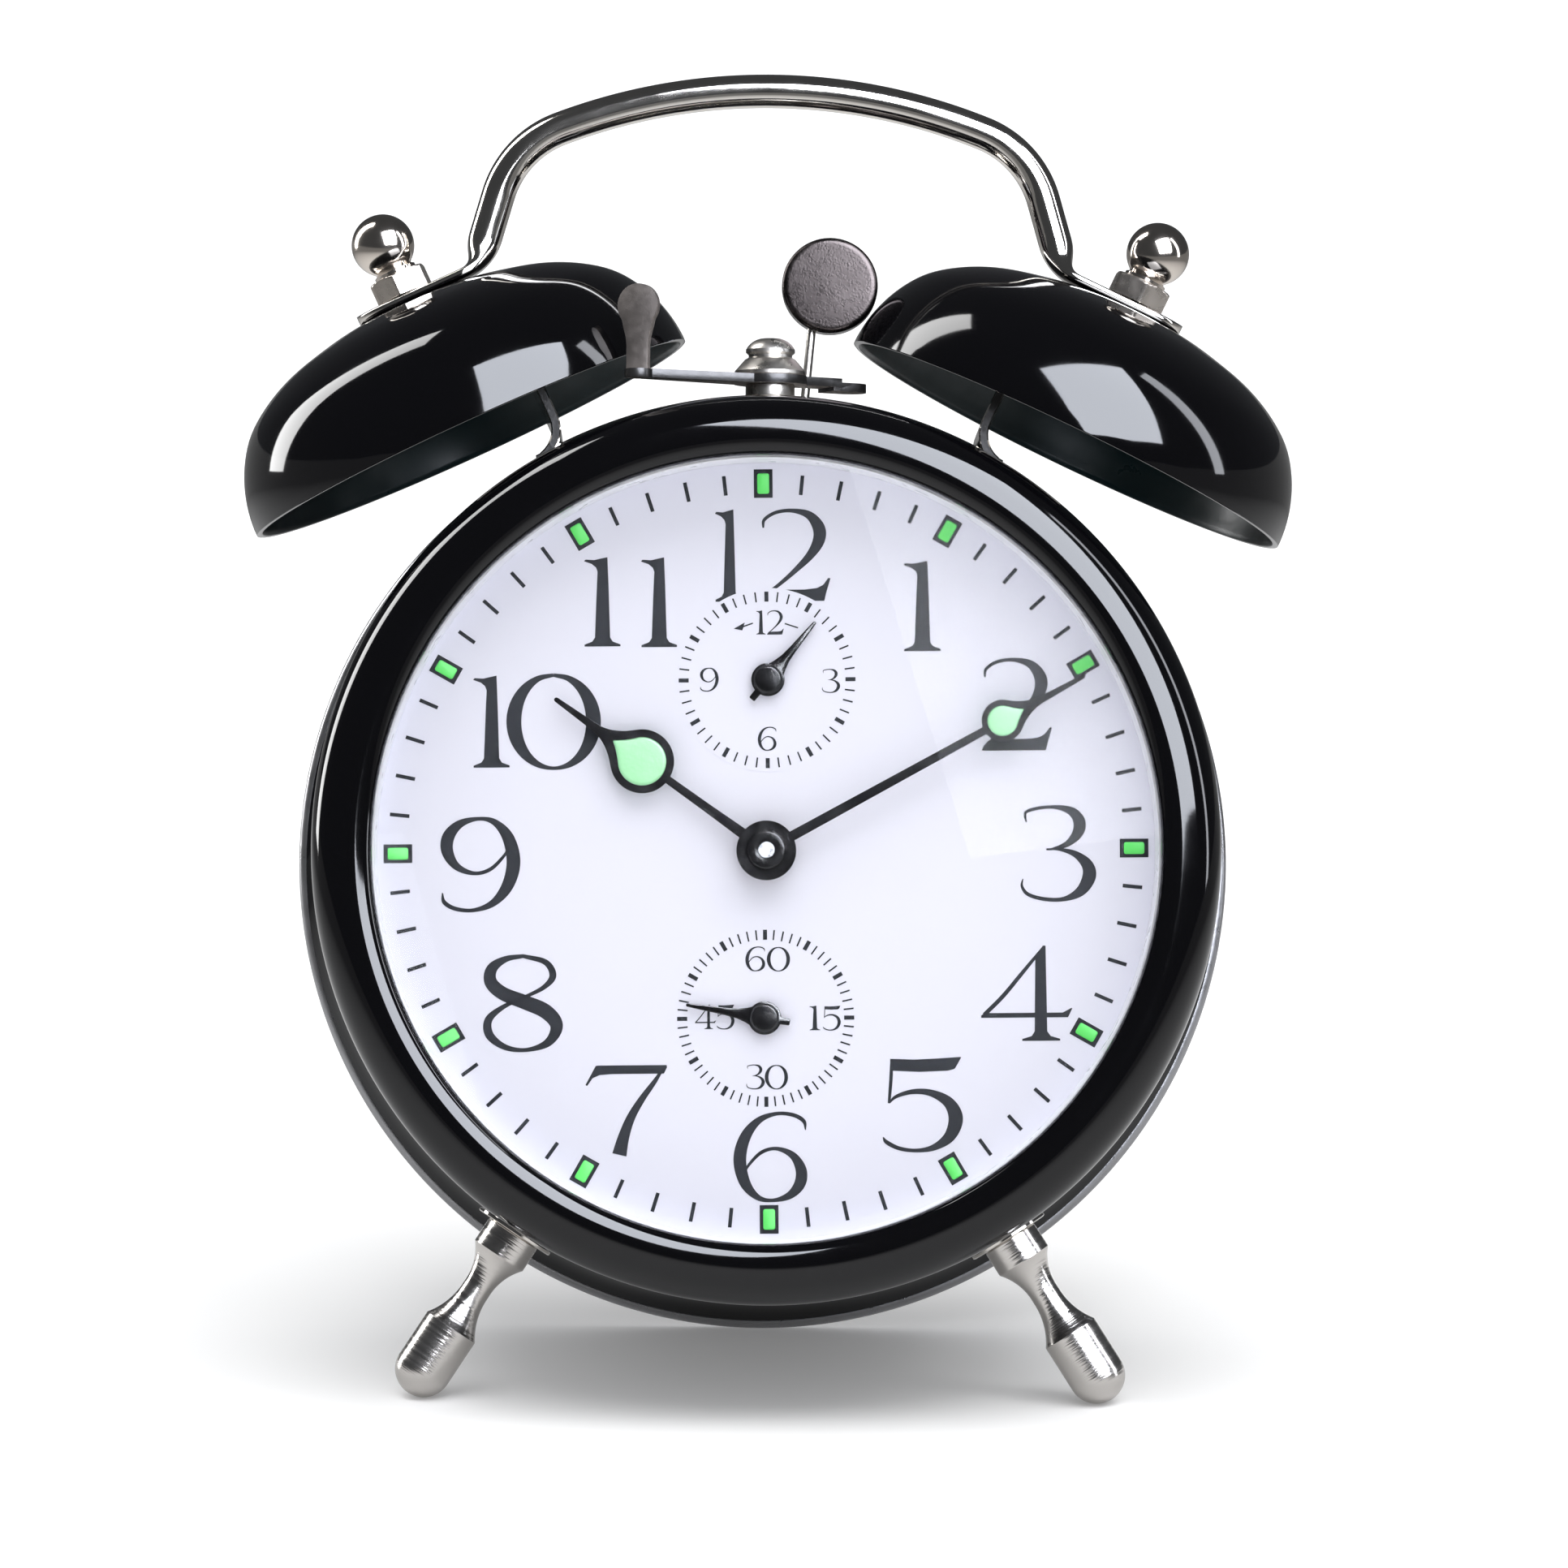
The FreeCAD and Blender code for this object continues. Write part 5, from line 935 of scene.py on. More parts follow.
SIX = [(0.86, 0.80, .006), (0.84, 0.90, .022), (0.72, 0.97, .022), (0.53, 0.985, .021), (0.33, 0.91, .038),
       (0.18, 0.73, .062), (0.115, 0.48, .072), (0.17, 0.22, .062), (0.31, 0.055, .034), (0.48, 0.018, .020),
       (0.67, 0.07, .042), (0.79, 0.20, .064), (0.805, 0.36, .062), (0.71, 0.52, .040), (0.53, 0.595, .021),
       (0.36, 0.555, .020), (0.22, 0.42, .016), (0.17, 0.33, .010)]
DIGITS = {
    "0": (0.95, [[(0.478 + 0.405 * math.sin(a) * (1.0), 0.5 + 0.482 * math.cos(a),
                   0.018 + 0.058 * abs(math.sin(a)) ** 1.6)
                  for a in [2 * math.pi * i / 16 for i in range(17)]]], []),
    "1": (0.42, [], [[(0.0, 0.955), (0.02, 0.975), (0.12, 0.968), (0.20, 0.985), (0.275, 1.0), (0.285, 0.7),
                      (0.30, 0.10), (0.33, 0.055), (0.42, 0.022), (0.42, 0.0), (0.0, 0.0), (0.0, 0.022),
                      (0.09, 0.055), (0.122, 0.10), (0.150, 0.70), (0.158, 0.84), (0.14, 0.885), (0.09, 0.925)]]),
    "2": (0.78, [[(0.045, 0.80, .010), (0.06, 0.89, .018), (0.19, 0.968, .019), (0.37, 0.985, .022), (0.55, 0.935, .044),
                  (0.655, 0.80, .068), (0.655, 0.66, .066), (0.56, 0.50, .046), (0.39, 0.33, .028), (0.20, 0.17, .019),
                  (0.06, 0.075, .016)]],
          [[(0.0, 0.0), (0.71, 0.0), (0.735, 0.10), (0.78, 0.245), (0.755, 0.25), (0.70, 0.175), (0.63, 0.14),
            (0.50, 0.125), (0.25, 0.125), (0.12, 0.115), (0.03, 0.06)]]),
    "3": (0.80, [[(0.075, 0.83, .008), (0.07, 0.93, .016), (0.20, 0.975, .018), (0.38, 0.985, .021), (0.545, 0.94, .045),
                  (0.625, 0.83, .063), (0.605, 0.71, .056), (0.50, 0.60, .032), (0.36, 0.55, .015), (0.28, 0.54, .008)],
                 [(0.28, 0.545, .008), (0.42, 0.54, .016), (0.58, 0.49, .034), (0.70, 0.38, .060), (0.72, 0.25, .070),
                  (0.63, 0.10, .052), (0.46, 0.02, .024), (0.26, 0.02, .020), (0.09, 0.07, .019), (0.025, 0.155, .014),
                  (0.035, 0.235, .005)]], []),
    "4": (0.96, [[(0.665, 0.985, .014), (0.45, 0.73, .020), (0.23, 0.47, .022), (0.03, 0.275, .022)]],
          [[(0.0, 0.245), (0.0, 0.272), (0.06, 0.30), (0.10, 0.295), (0.86, 0.295), (0.955, 0.345), (0.96, 0.335),
            (0.915, 0.245)],
           [(0.655, 1.0), (0.685, 1.0), (0.695, 0.10), (0.73, 0.05), (0.83, 0.02), (0.83, 0.0), (0.43, 0.0),
            (0.43, 0.02), (0.53, 0.05), (0.562, 0.10), (0.575, 0.86)]]),
    "5": (0.86, [[(0.115, 0.93, .016), (0.105, 0.75, .018), (0.085, 0.515, .014)],
                 [(0.085, 0.515, .007), (0.16, 0.585, .018), (0.33, 0.635, .026), (0.52, 0.62, .036), (0.70, 0.52, .058),
                  (0.775, 0.35, .075), (0.71, 0.16, .060), (0.55, 0.045, .034), (0.37, 0.012, .020), (0.19, 0.035, .021),
                  (0.06, 0.10, .022), (0.02, 0.155, .006)]],
          [[(0.10, 0.985), (0.35, 0.975), (0.60, 0.985), (0.83, 1.0), (0.835, 0.99), (0.77, 0.875), (0.70, 0.855),
            (0.40, 0.845), (0.10, 0.86)]]),
    "6": (0.90, [SIX], []),
    "7": (0.90, [[(0.86, 0.95, .012), (0.76, 0.80, .026), (0.62, 0.61, .037), (0.50, 0.41, .048), (0.42, 0.20, .062),
                  (0.37, 0.0, .080)]],
          [[(0.0, 0.775), (0.115, 0.985), (0.14, 0.99), (0.90, 0.99), (0.905, 0.965), (0.87, 0.895), (0.30, 0.895),
            (0.16, 0.885), (0.08, 0.85), (0.02, 0.765)]]),
    "8": (0.88, [[(0.45, 0.985, .020), (0.27, 0.955, .032), (0.13, 0.86, .056), (0.115, 0.72, .066), (0.24, 0.60, .070),
                  (0.46, 0.51, .074), (0.68, 0.41, .076), (0.79, 0.26, .066), (0.70, 0.09, .042), (0.48, 0.016, .021),
                  (0.26, 0.045, .030), (0.10, 0.17, .044), (0.09, 0.33, .040), (0.24, 0.46, .024), (0.46, 0.56, .018),
                  (0.66, 0.66, .024), (0.755, 0.78, .036), (0.68, 0.92, .030), (0.45, 0.985, .020)]], []),
    "9": (0.90, [[(0.90 - x, 1.0 - y, h) for x, y, h in SIX]], []),
}
TURN = math.radians(1.04)


def glyph(ch, cx, cz, h, wide=None):
    """Polygons for one figure centred on (cx, cz), height h, in dial millimetres."""
    wd, strokes, polys = DIGITS[ch]
    sx = (wide / wd) if wide else h
    shapes = [stroke(s, loop=(s[0][:2] == s[-1][:2])) for s in strokes] + [list(p) for p in polys]
    out = []
    for n_, sh in enumerate(shapes):
        q = []
        for x, y in sh:
            u, v = (x - wd / 2) * sx, (y - 0.5) * h
            q.append((cx + u * math.cos(TURN) - v * math.sin(TURN), cz + u * math.sin(TURN) + v * math.cos(TURN)))
        out.append(q)
    return out


def ink(name, polys, front, back, mat=None, slot="dial_white", body="case"):
    parts = []
    for i, p in enumerate(polys):
        parts.append(prism(p, front - 0.0015 * (i % 3), back))
    v, f = gather(parts)
    return make(name, v, f, mat or MAT["print"], body, slot=slot, smooth=30)


NUM = [  # figure string, centre x, centre z, width, height
    ("1", 19.10, 30.71, 4.56, 11.26), ("2", 30.96, 18.56, 8.81, 11.46), ("3", 36.29, 0.08, 9.62, 11.85),
    ("4", 32.54, -17.37, 11.33, 11.83), ("5", 19.72, -31.30, 10.31, 11.72), ("6", 0.79, -38.05, 9.90, 11.11),
    ("7", -17.05, -32.32, 10.10, 11.21), ("8", -30.08, -19.22, 10.61, 12.03), ("9", -35.37, -2.03, 10.72, 11.74)]
for ch, x, z, wd, hg in NUM:
    ink("figure_" + ch, glyph(ch, x, z, hg, wd), -0.03, 0.0)


def crop_mm(X, Y):
    return ((X - 787.0) / 18.78, (814.0 - Y) / 18.78)


def two(name, a, b, front=-0.03):
    polys = []
    for ch, X0, X1, Y0, Y1 in (a, b):
        x0, z1 = crop_mm(X0, Y0)
        x1, z0 = crop_mm(X1, Y1)
        polys += glyph(ch, (x0 + x1) / 2, (z0 + z1) / 2, z1 - z0, x1 - x0)
    return ink(name, polys, front, 0.0)


two("figure_12", ("1", 661, 727, 16, 232), ("2", 764, 930, 14, 229))
two("figure_11", ("1", 356, 440, 131, 340), ("1", 489, 572, 130, 340))
two("figure_10", ("1", 100, 184, 411, 626), ("0", 178, 396, 404, 630))


def bar(r0, r1, wdt, ang):
    """Radial bar at a clockwise angle from twelve, about the dial's middle."""
    a = math.radians(90 - ang) + TURN
    c, s_ = math.cos(a), math.sin(a)
    return [(r * c - q * s_, r * s_ + q * c) for r, q in ((r0, -wdt / 2), (r1, -wdt / 2), (r1, wdt / 2), (r0, wdt / 2))]


def moved(p, x, z):
    return [(a + x, b + z) for a, b in p]


R0 = 45.77
ink("minute_marks", [bar(R0 - 1.22, R0 + 1.22, 0.46, 6 * k) for k in range(60) if k % 5], -0.03, 0.0)


ink("hour_blocks", [bar(R0 - 1.78, R0 + 1.78, 2.33, 30 * k) for k in range(12)], -0.03, 0.0)
lume_parts = []
for k in range(12):
    c = bar(R0 - 1.28, R0 + 1.28, 1.5, 30 * k)
    mid = Vector(((c[0][0] + c[2][0]) / 2, (c[0][1] + c[2][1]) / 2))
    pts = []
    for i in range(4):
        p = Vector(c[i])
        a = (Vector(c[i - 1]) - p).normalized()
        b = (Vector(c[(i + 1) % 4]) - p).normalized()
        for t in (0, 0.25, 0.5, 0.75, 1):
            q = (p + a * 0.32) * (1 - t) ** 2 + p * 2 * t * (1 - t) + (p + b * 0.32) * t * t
            pts.append((q.x, q.y))
    lume_parts.append(prism(pts, -0.17, -0.028, edge=0.10))
v_, f_ = gather(lume_parts)
make("hour_lume", v_, f_, MAT["lume"], "case", slot="dial_white", smooth=50)

# sub-dial grounds hide the part of the figures that they cross
for nm, cz, wd in (("alarm_ground", 21.3, 11.45),):
    pts = [(wd * math.cos(2 * math.pi * k / 96), cz + wd * math.sin(2 * math.pi * k / 96)) for k in range(96)]
    hole = [(1.25 * math.cos(2 * math.pi * k / 32), cz + 1.25 * math.sin(2 * math.pi * k / 32)) for k in range(32)]
    bm = bmesh.new()
    edges = []
    for loop in (pts, hole):
        vs = [bm.verts.new((x, -0.042, z)) for x, z in loop]
        edges += [bm.edges.new((vs[i], vs[(i + 1) % len(vs)])) for i in range(len(vs))]
    bmesh.ops.triangle_fill(bm, use_beauty=True, use_dissolve=False, edges=edges)
    g = bmesh.ops.extrude_face_region(bm, geom=bm.faces[:])
    for e in g["geom"]:
        if isinstance(e, bmesh.types.BMVert):
            e.co.y = 0.0
    bm.verts.index_update()
    make(nm, [tuple(v.co) for v in bm.verts], [tuple(v.index for v in f.verts) for f in bm.faces], MAT["dial"], "case",
         slot="dial_white", smooth=30)
    bm.free()

AX_, AZ_ = -0.1, 21.3
ink("alarm_marks", [moved(bar(9.75, 11.0, 0.5 if k % 4 == 0 else 0.19, 7.5 * k), AX_, AZ_) for k in range(48)], -0.07, -0.04)
small = []
small += glyph("1", -0.95, 28.45, 3.0, 1.15) + glyph("2", 0.85, 28.45, 3.0, 2.1)
small += glyph("3", 7.85, 21.25, 2.95, 2.3) + glyph("6", -0.05, 13.95, 2.95, 2.5) + glyph("9", -7.25, 21.25, 2.95, 2.5)
small += [[(-4.30, 27.62), (-2.95, 28.42), (-3.05, 28.03), (-1.95, 28.42), (-1.90, 28.26), (-3.10, 27.82), (-3.25, 27.42)],
          [(2.05, 28.42), (3.72, 27.90), (3.66, 27.74), (2.0, 28.26)]]
ink("alarm_figures", small, -0.07, -0.04)
SX_, SZ_ = 0.15, -20.8
ink("seconds_marks", [moved(bar(9.75, 11.0, 0.5 if k % 5 == 0 else 0.19, 6 * k), SX_, SZ_) for k in range(60)], -0.03, 0.0)
small = []
small += glyph("6", -1.25, -13.45, 3.05, 2.65) + glyph("0", 1.65, -13.45, 3.05, 2.85)
small += glyph("1", 6.25, -20.7, 3.05, 1.3) + glyph("5", 8.35, -20.7, 3.05, 2.3)
small += glyph("3", -1.05, -28.1, 3.05, 2.35) + glyph("0", 1.55, -28.1, 3.05, 2.85)
small += glyph("4", -7.35, -20.7, 3.05, 2.6) + glyph("5", -4.85, -20.7, 3.05, 2.3)
ink("seconds_figures", small, -0.03, 0.0)

# ------------------------------------------------------------------ hands
HOUR_A, MIN_A, SEC_A, ALM_A = -54.9, 60.7, 279.0, 38.8


def hand_plate(name, cz, ang, outline, holes, hub, bore, y0, th, body, replaces, slot):
    """outline: half of the hand as (u, half width) from the hub outwards."""
    a = math.radians(90 - ang)
    ca, sa_ = math.cos(a), math.sin(a)

    def tr(u, v):
        return (u * ca - v * sa_, cz + u * sa_ + v * ca)
    bm = bmesh.new()
    loops = []
    th0 = math.asin(min(0.99, outline[0][1] / hub))
    ring = []
    n = 64
    for k in range(n + 1):
        t = th0 + (2 * math.pi - 2 * th0) * k / n
        ring.append((hub * math.cos(t), hub * math.sin(t)))
    tip_side = [(u, -v) for u, v in outline] + [(u, v) for u, v in reversed(outline)]
    pts = ring + tip_side
    clean = []
    for p in pts:
        if not clean or math.hypot(p[0] - clean[-1][0], p[1] - clean[-1][1]) > 0.02:
            clean.append(p)
    loops.append([tr(*p) for p in clean])
    for h in holes:
        loops.append([tr(*p) for p in h])
    loops.append([tr(bore * math.cos(2 * math.pi * k / 32), bore * math.sin(2 * math.pi * k / 32)) for k in range(32)])
    edges = []
    for lp in loops:
        vs = [bm.verts.new((x, y0, z)) for x, z in lp]
        edges += [bm.edges.new((vs[i], vs[(i + 1) % len(vs)])) for i in range(len(vs))]
    bmesh.ops.triangle_fill(bm, use_beauty=True, use_dissolve=False, edges=edges)
    g = bmesh.ops.extrude_face_region(bm, geom=bm.faces[:])
    for e in g["geom"]:
        if isinstance(e, bmesh.types.BMVert):
            e.co.y = y0 + th
    bm.verts.index_update()
    ob = make(name, [tuple(v.co) for v in bm.verts], [tuple(v.index for v in f.verts) for f in bm.faces],
              MAT["hand_black"], body, slot=slot, replaces=replaces, smooth=30)
    bm.free()
    return ob, tr


def drop(uc, r, ut, n=40):
    """Teardrop loop: circle of radius r at uc drawn out to a point at ut, flanks slightly hollow."""
    pts = []
    a0 = math.radians(48)
    for k in range(n + 1):
        t = a0 + (2 * math.pi - 2 * a0) * k / n
        pts.append((uc + r * math.cos(t), r * math.sin(t)))
    p1 = (uc + r * math.cos(a0), r * math.sin(a0))
    for k in range(1, 9):
        t = k / 9
        u = p1[0] + (ut - p1[0]) * t
        v = p1[1] * (1 - t) ** 1.35
        pts.insert(0, (u, v))
    low_ = [(u, -v) for u, v in pts[:8]]
    pts = pts + low_[::-1]
    return pts


def side_of_drop(uc, r, u_neck, v_neck, ut, v_t, tip, v_tip):
    """Half outline from the stem, round the drop and out along the needle."""
    o = []
    t_in = math.pi - math.asin(v_neck / r)
    a0 = math.radians(44)
    for k in range(25):
        t = t_in + (a0 - t_in) * k / 24
        o.append((uc + r * math.cos(t), r * math.sin(t)))
    p1 = o[-1]
    slope = -1 / math.tan(a0)
    for k in range(1, 11):
        t = k / 10
        u = p1[0] + (ut - p1[0]) * t
        v = v_t + (p1[1] - v_t) * (1 - t) ** 2.1
        o.append((u, v))
    o.append((tip - 0.3, v_tip))
    o.append((tip - 0.08, v_tip * 0.75))
    o.append((tip, v_tip * 0.3))
    return o


hour_o = [(3.6, 0.66), (9.0, 0.55)] + side_of_drop(19.0, 3.98, 15.1, 0.50, 26.6, 0.50, 32.4, 0.30)
minute_o = [(3.6, 0.62), (16.0, 0.56)] + side_of_drop(33.5, 2.62, 31.0, 0.50, 39.4, 0.44, 45.2, 0.26)
hd = drop(19.0, 3.02, 23.7)
md = drop(33.5, 1.92, 36.75)
hour, tr_h = hand_plate("hour_hand_cut", 0, HOUR_A, hour_o, [hd], 3.72, 2.1, -1.9, 0.35, "hour_hand", ["hour_hand"], "hand_black")
minute, tr_m = hand_plate("minute_hand_cut", 0, MIN_A, minute_o, [md], 3.68, 1.0, -3.0, 0.35, "time_setting", ["minute_hand"], "hand_black")
for ob in (hour, minute):
    bv = ob.modifiers.new("edge", "BEVEL")
    bv.width = 0.00007
    bv.segments = 2
    bv.limit_method = "ANGLE"
    bv.angle_limit = math.radians(50)


def lume_fill(name, loop, tr, y0, y1, body):
    pts = [tr(*p) for p in loop]
    n = len(pts)
    cx = sum(p[0] for p in pts) / n
    cz = sum(p[1] for p in pts) / n
    if area2(pts) < 0:
        pts = pts[::-1]
    levels = [(1.0, y1), (1.0, y0 + 0.06), (0.97, y0 + 0.02), (0.86, y0 - 0.005), (0.6, y0 - 0.02), (0.3, y0 - 0.028)]
    verts, faces = [], []
    for s_, y in levels:
        verts += [(cx + (x - cx) * s_, y, cz + (z - cz) * s_) for x, z in pts]
    m = len(levels)
    for i in range(m - 1):
        for k in range(n):
            k2 = (k + 1) % n
            faces.append((i * n + k, i * n + k2, (i + 1) * n + k2, (i + 1) * n + k))
    faces.append(tuple(range(n)))
    verts.append((cx, y0 - 0.03, cz))
    for k in range(n):
        faces.append(((m - 1) * n + (k + 1) % n, (m - 1) * n + k, len(verts) - 1))
    return make(name, verts, faces, MAT["lume_hand"], body, slot="hand_black", smooth=60)


lume_fill("hour_hand_lume", hd, tr_h, -1.78, -1.62, "hour_hand")
lume_fill("minute_hand_lume", md, tr_m, -2.88, -2.72, "time_setting")

# collar under the minute hand
lathe("hand_boss", soften([(1.0, -3.62), (2.25, -3.62), (2.6, -3.0), (1.0, -3.0)], 0.2), MAT["hand_black"], "time_setting",
      segs=96, slot="hand_black", smooth=30)


def small_hand(name, cz, ang, reach, tail, y0, body, node, pin_r, pin_y):
    o = [(1.72, 1.16), (2.3, 0.92), (3.4, 0.62), (5.0, 0.46), (reach - 1.0, 0.27), (reach - 0.1, 0.2), (reach, 0.08)]
    a = math.radians(90 - ang)
    ca, sa_ = math.cos(a), math.sin(a)

    def tr(u, v):
        return (u * ca - v * sa_, cz + u * sa_ + v * ca)
    ring = []
    th0 = math.asin(1.16 / 2.08)
    th1 = math.pi - math.asin(0.45 / 2.08)
    for k in range(25):
        t = th0 + (th1 - th0) * k / 24
        ring.append((2.08 * math.cos(t), 2.08 * math.sin(t)))
    upper = [(u, v) for u, v in reversed(o)] + ring[1:] + [(-tail + 0.12, 0.42), (-tail, 0.3)]
    pts = upper + [(u, -v) for u, v in reversed(upper)]
    v, f = prism([tr(*p) for p in pts], y0, y0 + 0.35, edge=0.12)
    make(name, v, f, MAT["hand_black"], body, slot="hand_black", replaces=[node], smooth=28)
    lathe(name + "_cap", soften([(0, y0 - 0.42), (1.5, y0 - 0.42), (1.95, y0), (0, y0)], 0.2), MAT["hand_black"], body,
          local=Matrix.Translation((0, 0, cz)), segs=64, slot="hand_black", smooth=40)


small_hand("alarm_hand_cut", 21.3, ALM_A, 9.3, 3.2, -1.0, "alarm_setting", "alarm_hand", 0.8, -1.3)
small_hand("seconds_hand_cut", -20.8, SEC_A, 9.9, 3.2, -1.0, "seconds_train", "seconds_hand", 0.6, -1.3)

# ------------------------------------------------------------------ pieces finished with eased edges
def eased(node, mats, width, angle=38.0, segs=2, pick=None):
    """The turned or stamped shape with its sharp edges broken."""
    src = frame["nodes"][node]
    bm = bmesh.new()
    bm.from_mesh(src.data)
    bmesh.ops.remove_doubles(bm, verts=bm.verts[:], dist=2e-6)
    bmesh.ops.dissolve_limit(bm, angle_limit=math.radians(0.6), verts=bm.verts[:], edges=bm.edges[:])
    me_ = bpy.data.meshes.new(node + "_finished")
    bm.to_mesh(me_)
    bm.free()
    ob_ = bpy.data.objects.new(node + "_finished", me_)
    scene_ = bpy.context.scene
    scene_.collection.objects.link(ob_)
    bv_ = ob_.modifiers.new("edge", "BEVEL")
    bv_.width = width
    bv_.segments = segs
    bv_.limit_method = "ANGLE"
    bv_.angle_limit = math.radians(angle)
    bv_.use_clamp_overlap = True
    bpy.context.view_layer.update()
    dg = bpy.context.evaluated_depsgraph_get()
    done = bpy.data.meshes.new_from_object(ob_.evaluated_get(dg))
    ob_.modifiers.clear()
    ob_.data = done
    done.materials.clear()
    for m in mats:
        done.materials.append(m)
    inv = M.inverted()
    n3 = inv.to_3x3()
    for q in done.polygons:
        q.material_index = pick(n3 @ q.normal, (inv @ q.center) * 1000.0) if pick else 0
    done.polygons.foreach_set("use_smooth", [True] * len(done.polygons))
    done.set_sharp_from_angle(angle=math.radians(32))
    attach(ob_, REC_BODY[node])
    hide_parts(node)
    return ob_


REC_BODY = {n: b["name"] for b in REC["behaviour"]["bodies"] for n in b["nodes"]} if isinstance(
    REC["behaviour"]["bodies"], list) else {n: b for b, ns in REC["behaviour"]["bodies"].items() for n in ns}
# the lever's side faces below its top take the near-black second finish, which is painted shade
eased("stop_lever", [MAT["paddle"], MAT["lever_side_shade"]], 0.00020,
      pick=lambda n, c: 1 if (abs(n.z) < 0.5 and c.z < 60.6) else 0)
for nd in ("time_key", "alarm_key"):
    eased(nd, [MAT["key_brass"]], 0.00018)
for nd in ("time_set_knob", "alarm_set_knob"):
    eased(nd, [MAT["key_brass"]], 0.00010)

# ------------------------------------------------------------------ finishes of the carried-over pieces
FINISH = {
    "inner_nuts": "nickel", "cover_screws": "nickel",
    "front_plate": "brass", "back_plate": "brass", "time_great_wheel": "brass", "alarm_great_wheel": "brass",
    "centre_wheel": "brass", "third_wheel": "brass", "fourth_wheel": "brass", "escape_wheel": "brass",
    "minute_wheel": "brass", "hour_wheel": "brass", "alarm_wheel": "brass", "alarm_star_wheel": "brass",
    "balance_wheel": "brass", "cannon_pinion": "brass", "plate_pillars": "steel", "centre_arbor": "steel",
    "alarm_set_arbor": "steel", "hammer_arbor": "steel", "time_winding_arbor": "steel", "alarm_winding_arbor": "steel",
    "pallet_fork": "steel", "regulator_lever": "nickel", "time_click": "steel", "alarm_click": "steel",
    "time_mainspring": "blued", "alarm_mainspring": "blued", "hairspring": "blued", "alarm_release_spring": "steel",
}
for n, o in frame["nodes"].items():
    key = FINISH.get(n)
    if key:
        o.data.materials.clear()
        o.data.materials.append(MAT[key])
        o.data.polygons.foreach_set("use_smooth", [True] * len(o.data.polygons))
        o.data.set_sharp_from_angle(angle=math.radians(30))

# ------------------------------------------------------------------ stage
floor_m, fnt, fb = new_mat("floor_white")
fb.inputs["Roughness"].default_value = 0.9
fb.inputs["Specular IOR Level"].default_value = 0.0
fb.inputs["Emission Color"].default_value = (1, 1, 1, 1)
fb.inputs["Emission Strength"].default_value = 0.14
# for glossy rays the floor is painted bright near the clock and dark further out: a painted reflection in the polished
# parts, standing for a table that is bright only near the clock
ftc = fnt.nodes.new("ShaderNodeTexCoord")
flen = fnt.nodes.new("ShaderNodeVectorMath")
flen.operation = "LENGTH"
fmr = fnt.nodes.new("ShaderNodeMapRange")
fmr.inputs["From Min"].default_value = 0.16
fmr.inputs["From Max"].default_value = 0.55
fmr.inputs["To Min"].default_value = 0.62
fmr.inputs["To Max"].default_value = 0.06
fcol = fnt.nodes.new("ShaderNodeCombineColor")
flp = fnt.nodes.new("ShaderNodeLightPath")
fmx = fnt.nodes.new("ShaderNodeMix")
fmx.data_type = "RGBA"
fmx.inputs["A"].default_value = (0.90, 0.90, 0.90, 1)
fnt.links.new(ftc.outputs["Object"], flen.inputs[0])
fnt.links.new(flen.outputs["Value"], fmr.inputs["Value"])
for ch in ("Red", "Green", "Blue"):
    fnt.links.new(fmr.outputs["Result"], fcol.inputs[ch])
fnt.links.new(flp.outputs["Is Glossy Ray"], fmx.inputs["Factor"])
fnt.links.new(fcol.outputs["Color"], fmx.inputs["B"])
fnt.links.new(fmx.outputs["Result"], fb.inputs["Base Color"])
me = bpy.data.meshes.new("floor")
me.from_pydata([(-6, -6, 0), (6, -6, 0), (6, 6, 0), (-6, 6, 0)], [], [(0, 1, 2, 3)])
me.materials.append(floor_m)
floor = bpy.data.objects.new("floor", me)
bpy.context.scene.collection.objects.link(floor)

scene = bpy.context.scene
world = bpy.data.worlds.new("studio")
scene.world = world
world.use_nodes = True
wn, wl = world.node_tree.nodes, world.node_tree.links
wn.clear()
wout = wn.new("ShaderNodeOutputWorld")
lp = wn.new("ShaderNodeLightPath")
bgc = wn.new("ShaderNodeBackground")
bgc.inputs["Color"].default_value = (1, 1, 1, 1)
bgc.inputs["Strength"].default_value = 1.0
bgg = wn.new("ShaderNodeBackground")
bgg.inputs["Color"].default_value = (0.90, 0.94, 1.0, 1)
bgg.inputs["Strength"].default_value = 0.065
bgd = wn.new("ShaderNodeBackground")
bgd.inputs["Color"].default_value = (0.97, 0.98, 1.0, 1)
bgd.inputs["Strength"].default_value = 0.70
mxa = wn.new("ShaderNodeMixShader")
mxb = wn.new("ShaderNodeMixShader")
wl.new(lp.outputs["Is Glossy Ray"], mxa.inputs["Fac"])
wl.new(bgd.outputs["Background"], mxa.inputs[1])
wl.new(bgg.outputs["Background"], mxa.inputs[2])
wl.new(lp.outputs["Is Camera Ray"], mxb.inputs["Fac"])
wl.new(mxa.outputs["Shader"], mxb.inputs[1])
wl.new(bgc.outputs["Background"], mxb.inputs[2])
wl.new(mxb.outputs["Shader"], wout.inputs["Surface"])


def softbox(name, toward, dist, sx, sy, level, color=(1, 1, 1), gloss=True, aim=(0, 10, 30)):
    """A box light seen from the clock along toward; level is its brightness."""
    l = bpy.data.lights.new(name, "AREA")
    l.shape = "RECTANGLE"
    l.size = sx
    l.size_y = sy
    l.energy = level * math.pi * sx * sy
    l.color = color
    o = bpy.data.objects.new(name, l)
    scene.collection.objects.link(o)
    t = to_row(aim)
    d = (M.to_3x3() @ Vector(toward)).normalized()
    o.location = t + d * dist
    o.rotation_euler = (-d).to_track_quat("-Z", "Y").to_euler()
    o.visible_glossy = gloss
    o.visible_diffuse = not gloss
    o.visible_transmission = gloss
    return o


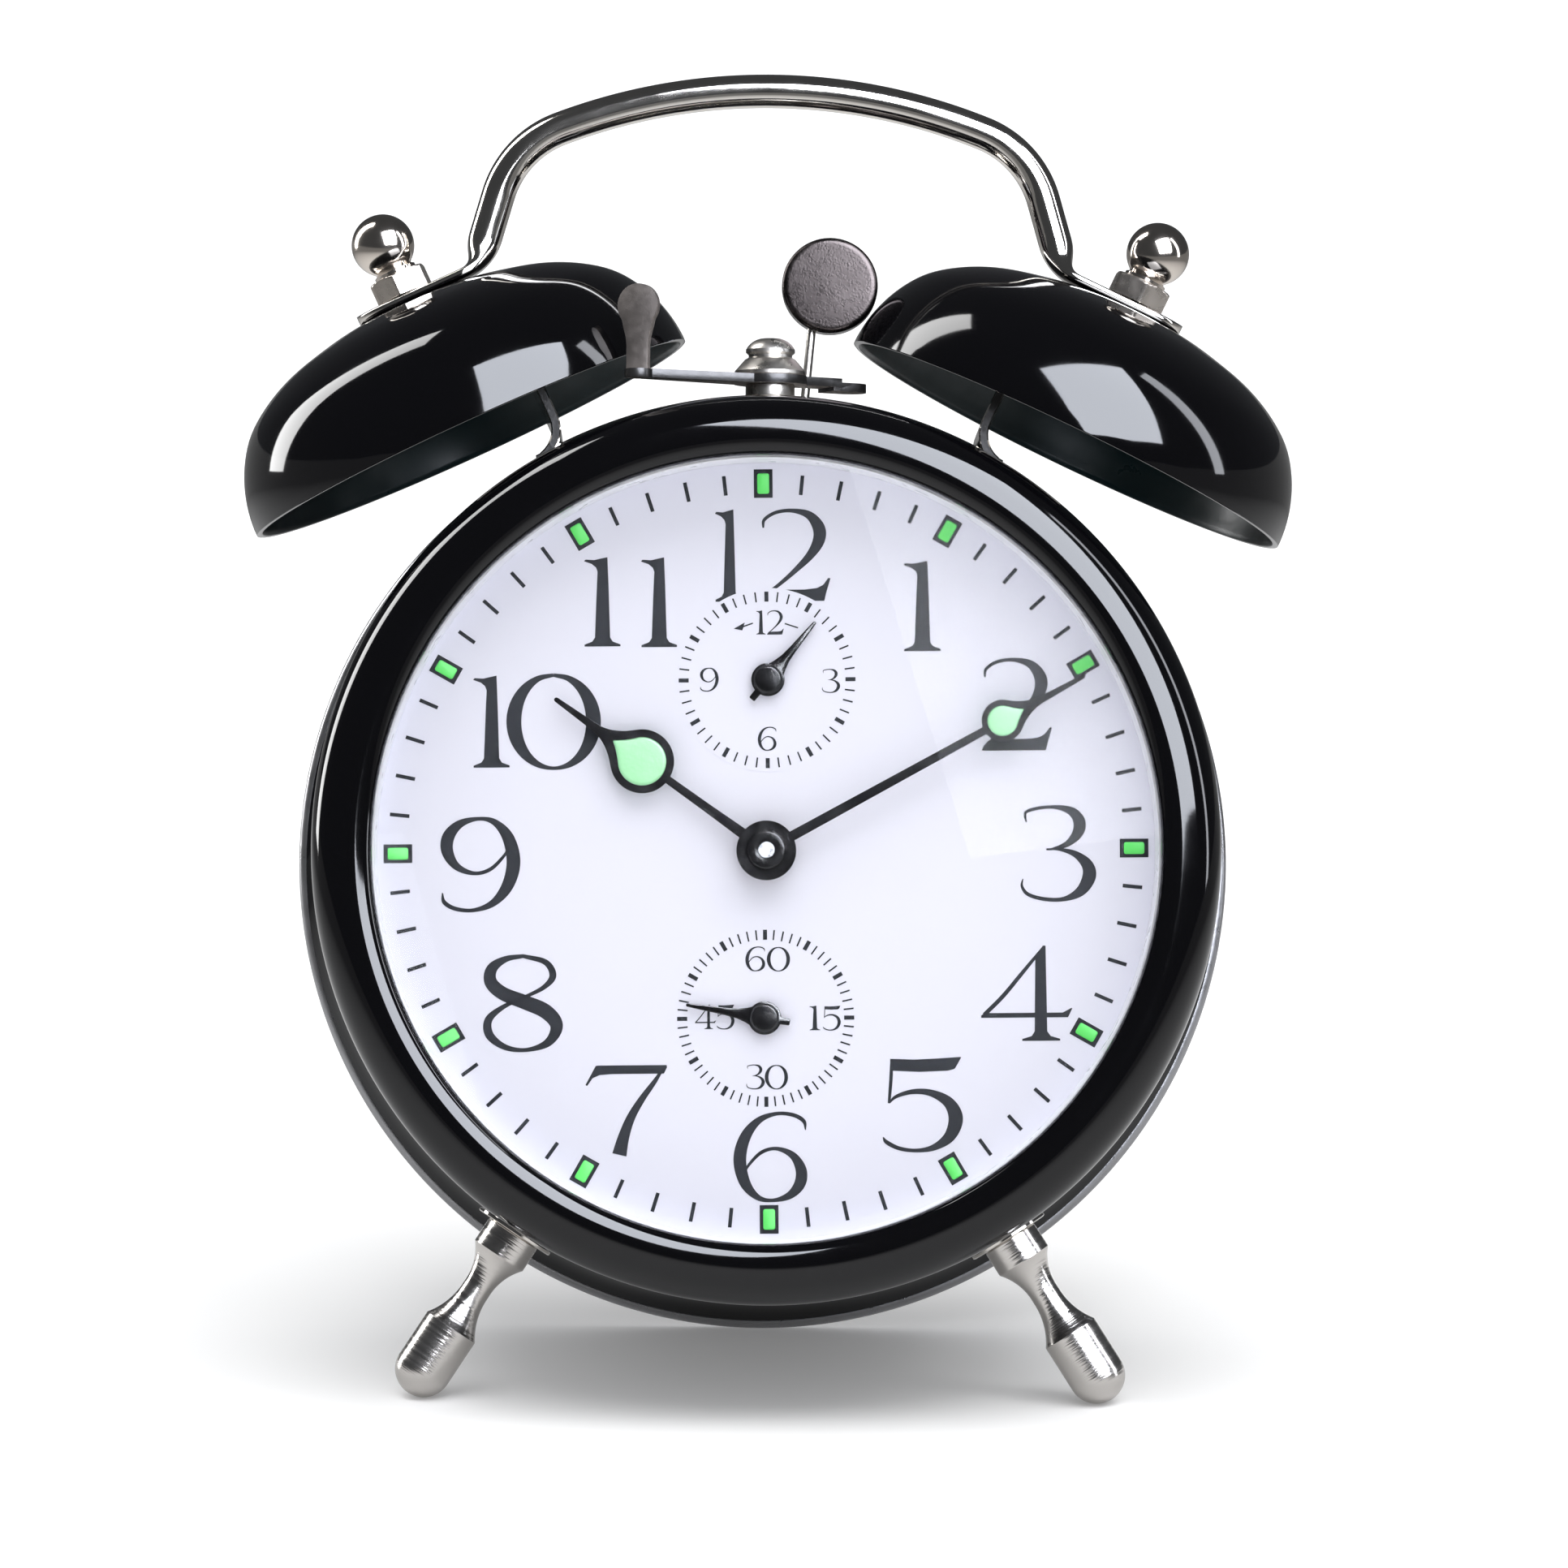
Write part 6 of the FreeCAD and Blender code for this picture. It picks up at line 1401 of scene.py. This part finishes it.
# boxes that the polished parts show
softbox("right_box", (0.38, -0.78, 0.46), 0.95, 0.80, 0.90, 18.0, (0.87, 0.91, 1.0))
softbox("left_strip", (-0.80, 0.26, 0.52), 0.90, 0.24, 1.30, 11.0)
softbox("right_strip", (0.86, -0.20, 0.36), 0.85, 0.10, 0.85, 9.0, (0.90, 0.93, 1.0))
# soft light on the matt surfaces
softbox("dial_light", (0.56, -0.46, 0.69), 0.95, 0.34, 0.34, 3.0, gloss=False)
sl = bpy.data.lights.new("top_light", "SUN")
sl.energy = 1.9
sl.angle = math.radians(55)
so = bpy.data.objects.new("top_light", sl)
scene.collection.objects.link(so)
so.rotation_euler = (math.radians(11), 0, 0)
so.visible_glossy = False

# ------------------------------------------------------------------ camera
F_PX, PP, DIST = 12000.0, 966.0, 1214.0
CENTRE = (944.0, 1048.5)


def rot(axis, deg):
    return Matrix.Rotation(math.radians(deg), 4, axis)


R = rot("Z", 0.57) @ rot("X", -2.45) @ rot("Y", -0.6)
A = Matrix(((1, 0, 0, 0), (0, 0, -1, 0), (0, 1, 0, 0), (0, 0, 0, 1)))
T = Matrix.Translation(((CENTRE[0] - PP) / F_PX * DIST, (CENTRE[1] - PP) / F_PX * DIST, DIST))
FLIP = Matrix(((1, 0, 0, 0), (0, -1, 0, 0), (0, 0, -1, 0), (0, 0, 0, 1)))
W2C = FLIP @ T @ R @ A                      # clock millimetres to camera millimetres
SC = Matrix.Scale(0.001, 4)
cam_in_clock = W2C.inverted()               # camera pose in clock millimetres
loc = cam_in_clock.to_translation()
rot3 = cam_in_clock.to_3x3()
pose = Matrix.Translation(loc * 0.001) @ rot3.to_4x4()
cd = bpy.data.cameras.new("photo_camera")
cd.sensor_width = 36.0
cd.lens = F_PX / 1932.0 * 36.0
cd.clip_start = 0.05
cd.clip_end = 50
cam = bpy.data.objects.new("photo_camera", cd)
scene.collection.objects.link(cam)
cam.matrix_world = M @ pose
scene.camera = cam
scene.view_settings.view_transform = "Standard"
scene.view_settings.look = "None"
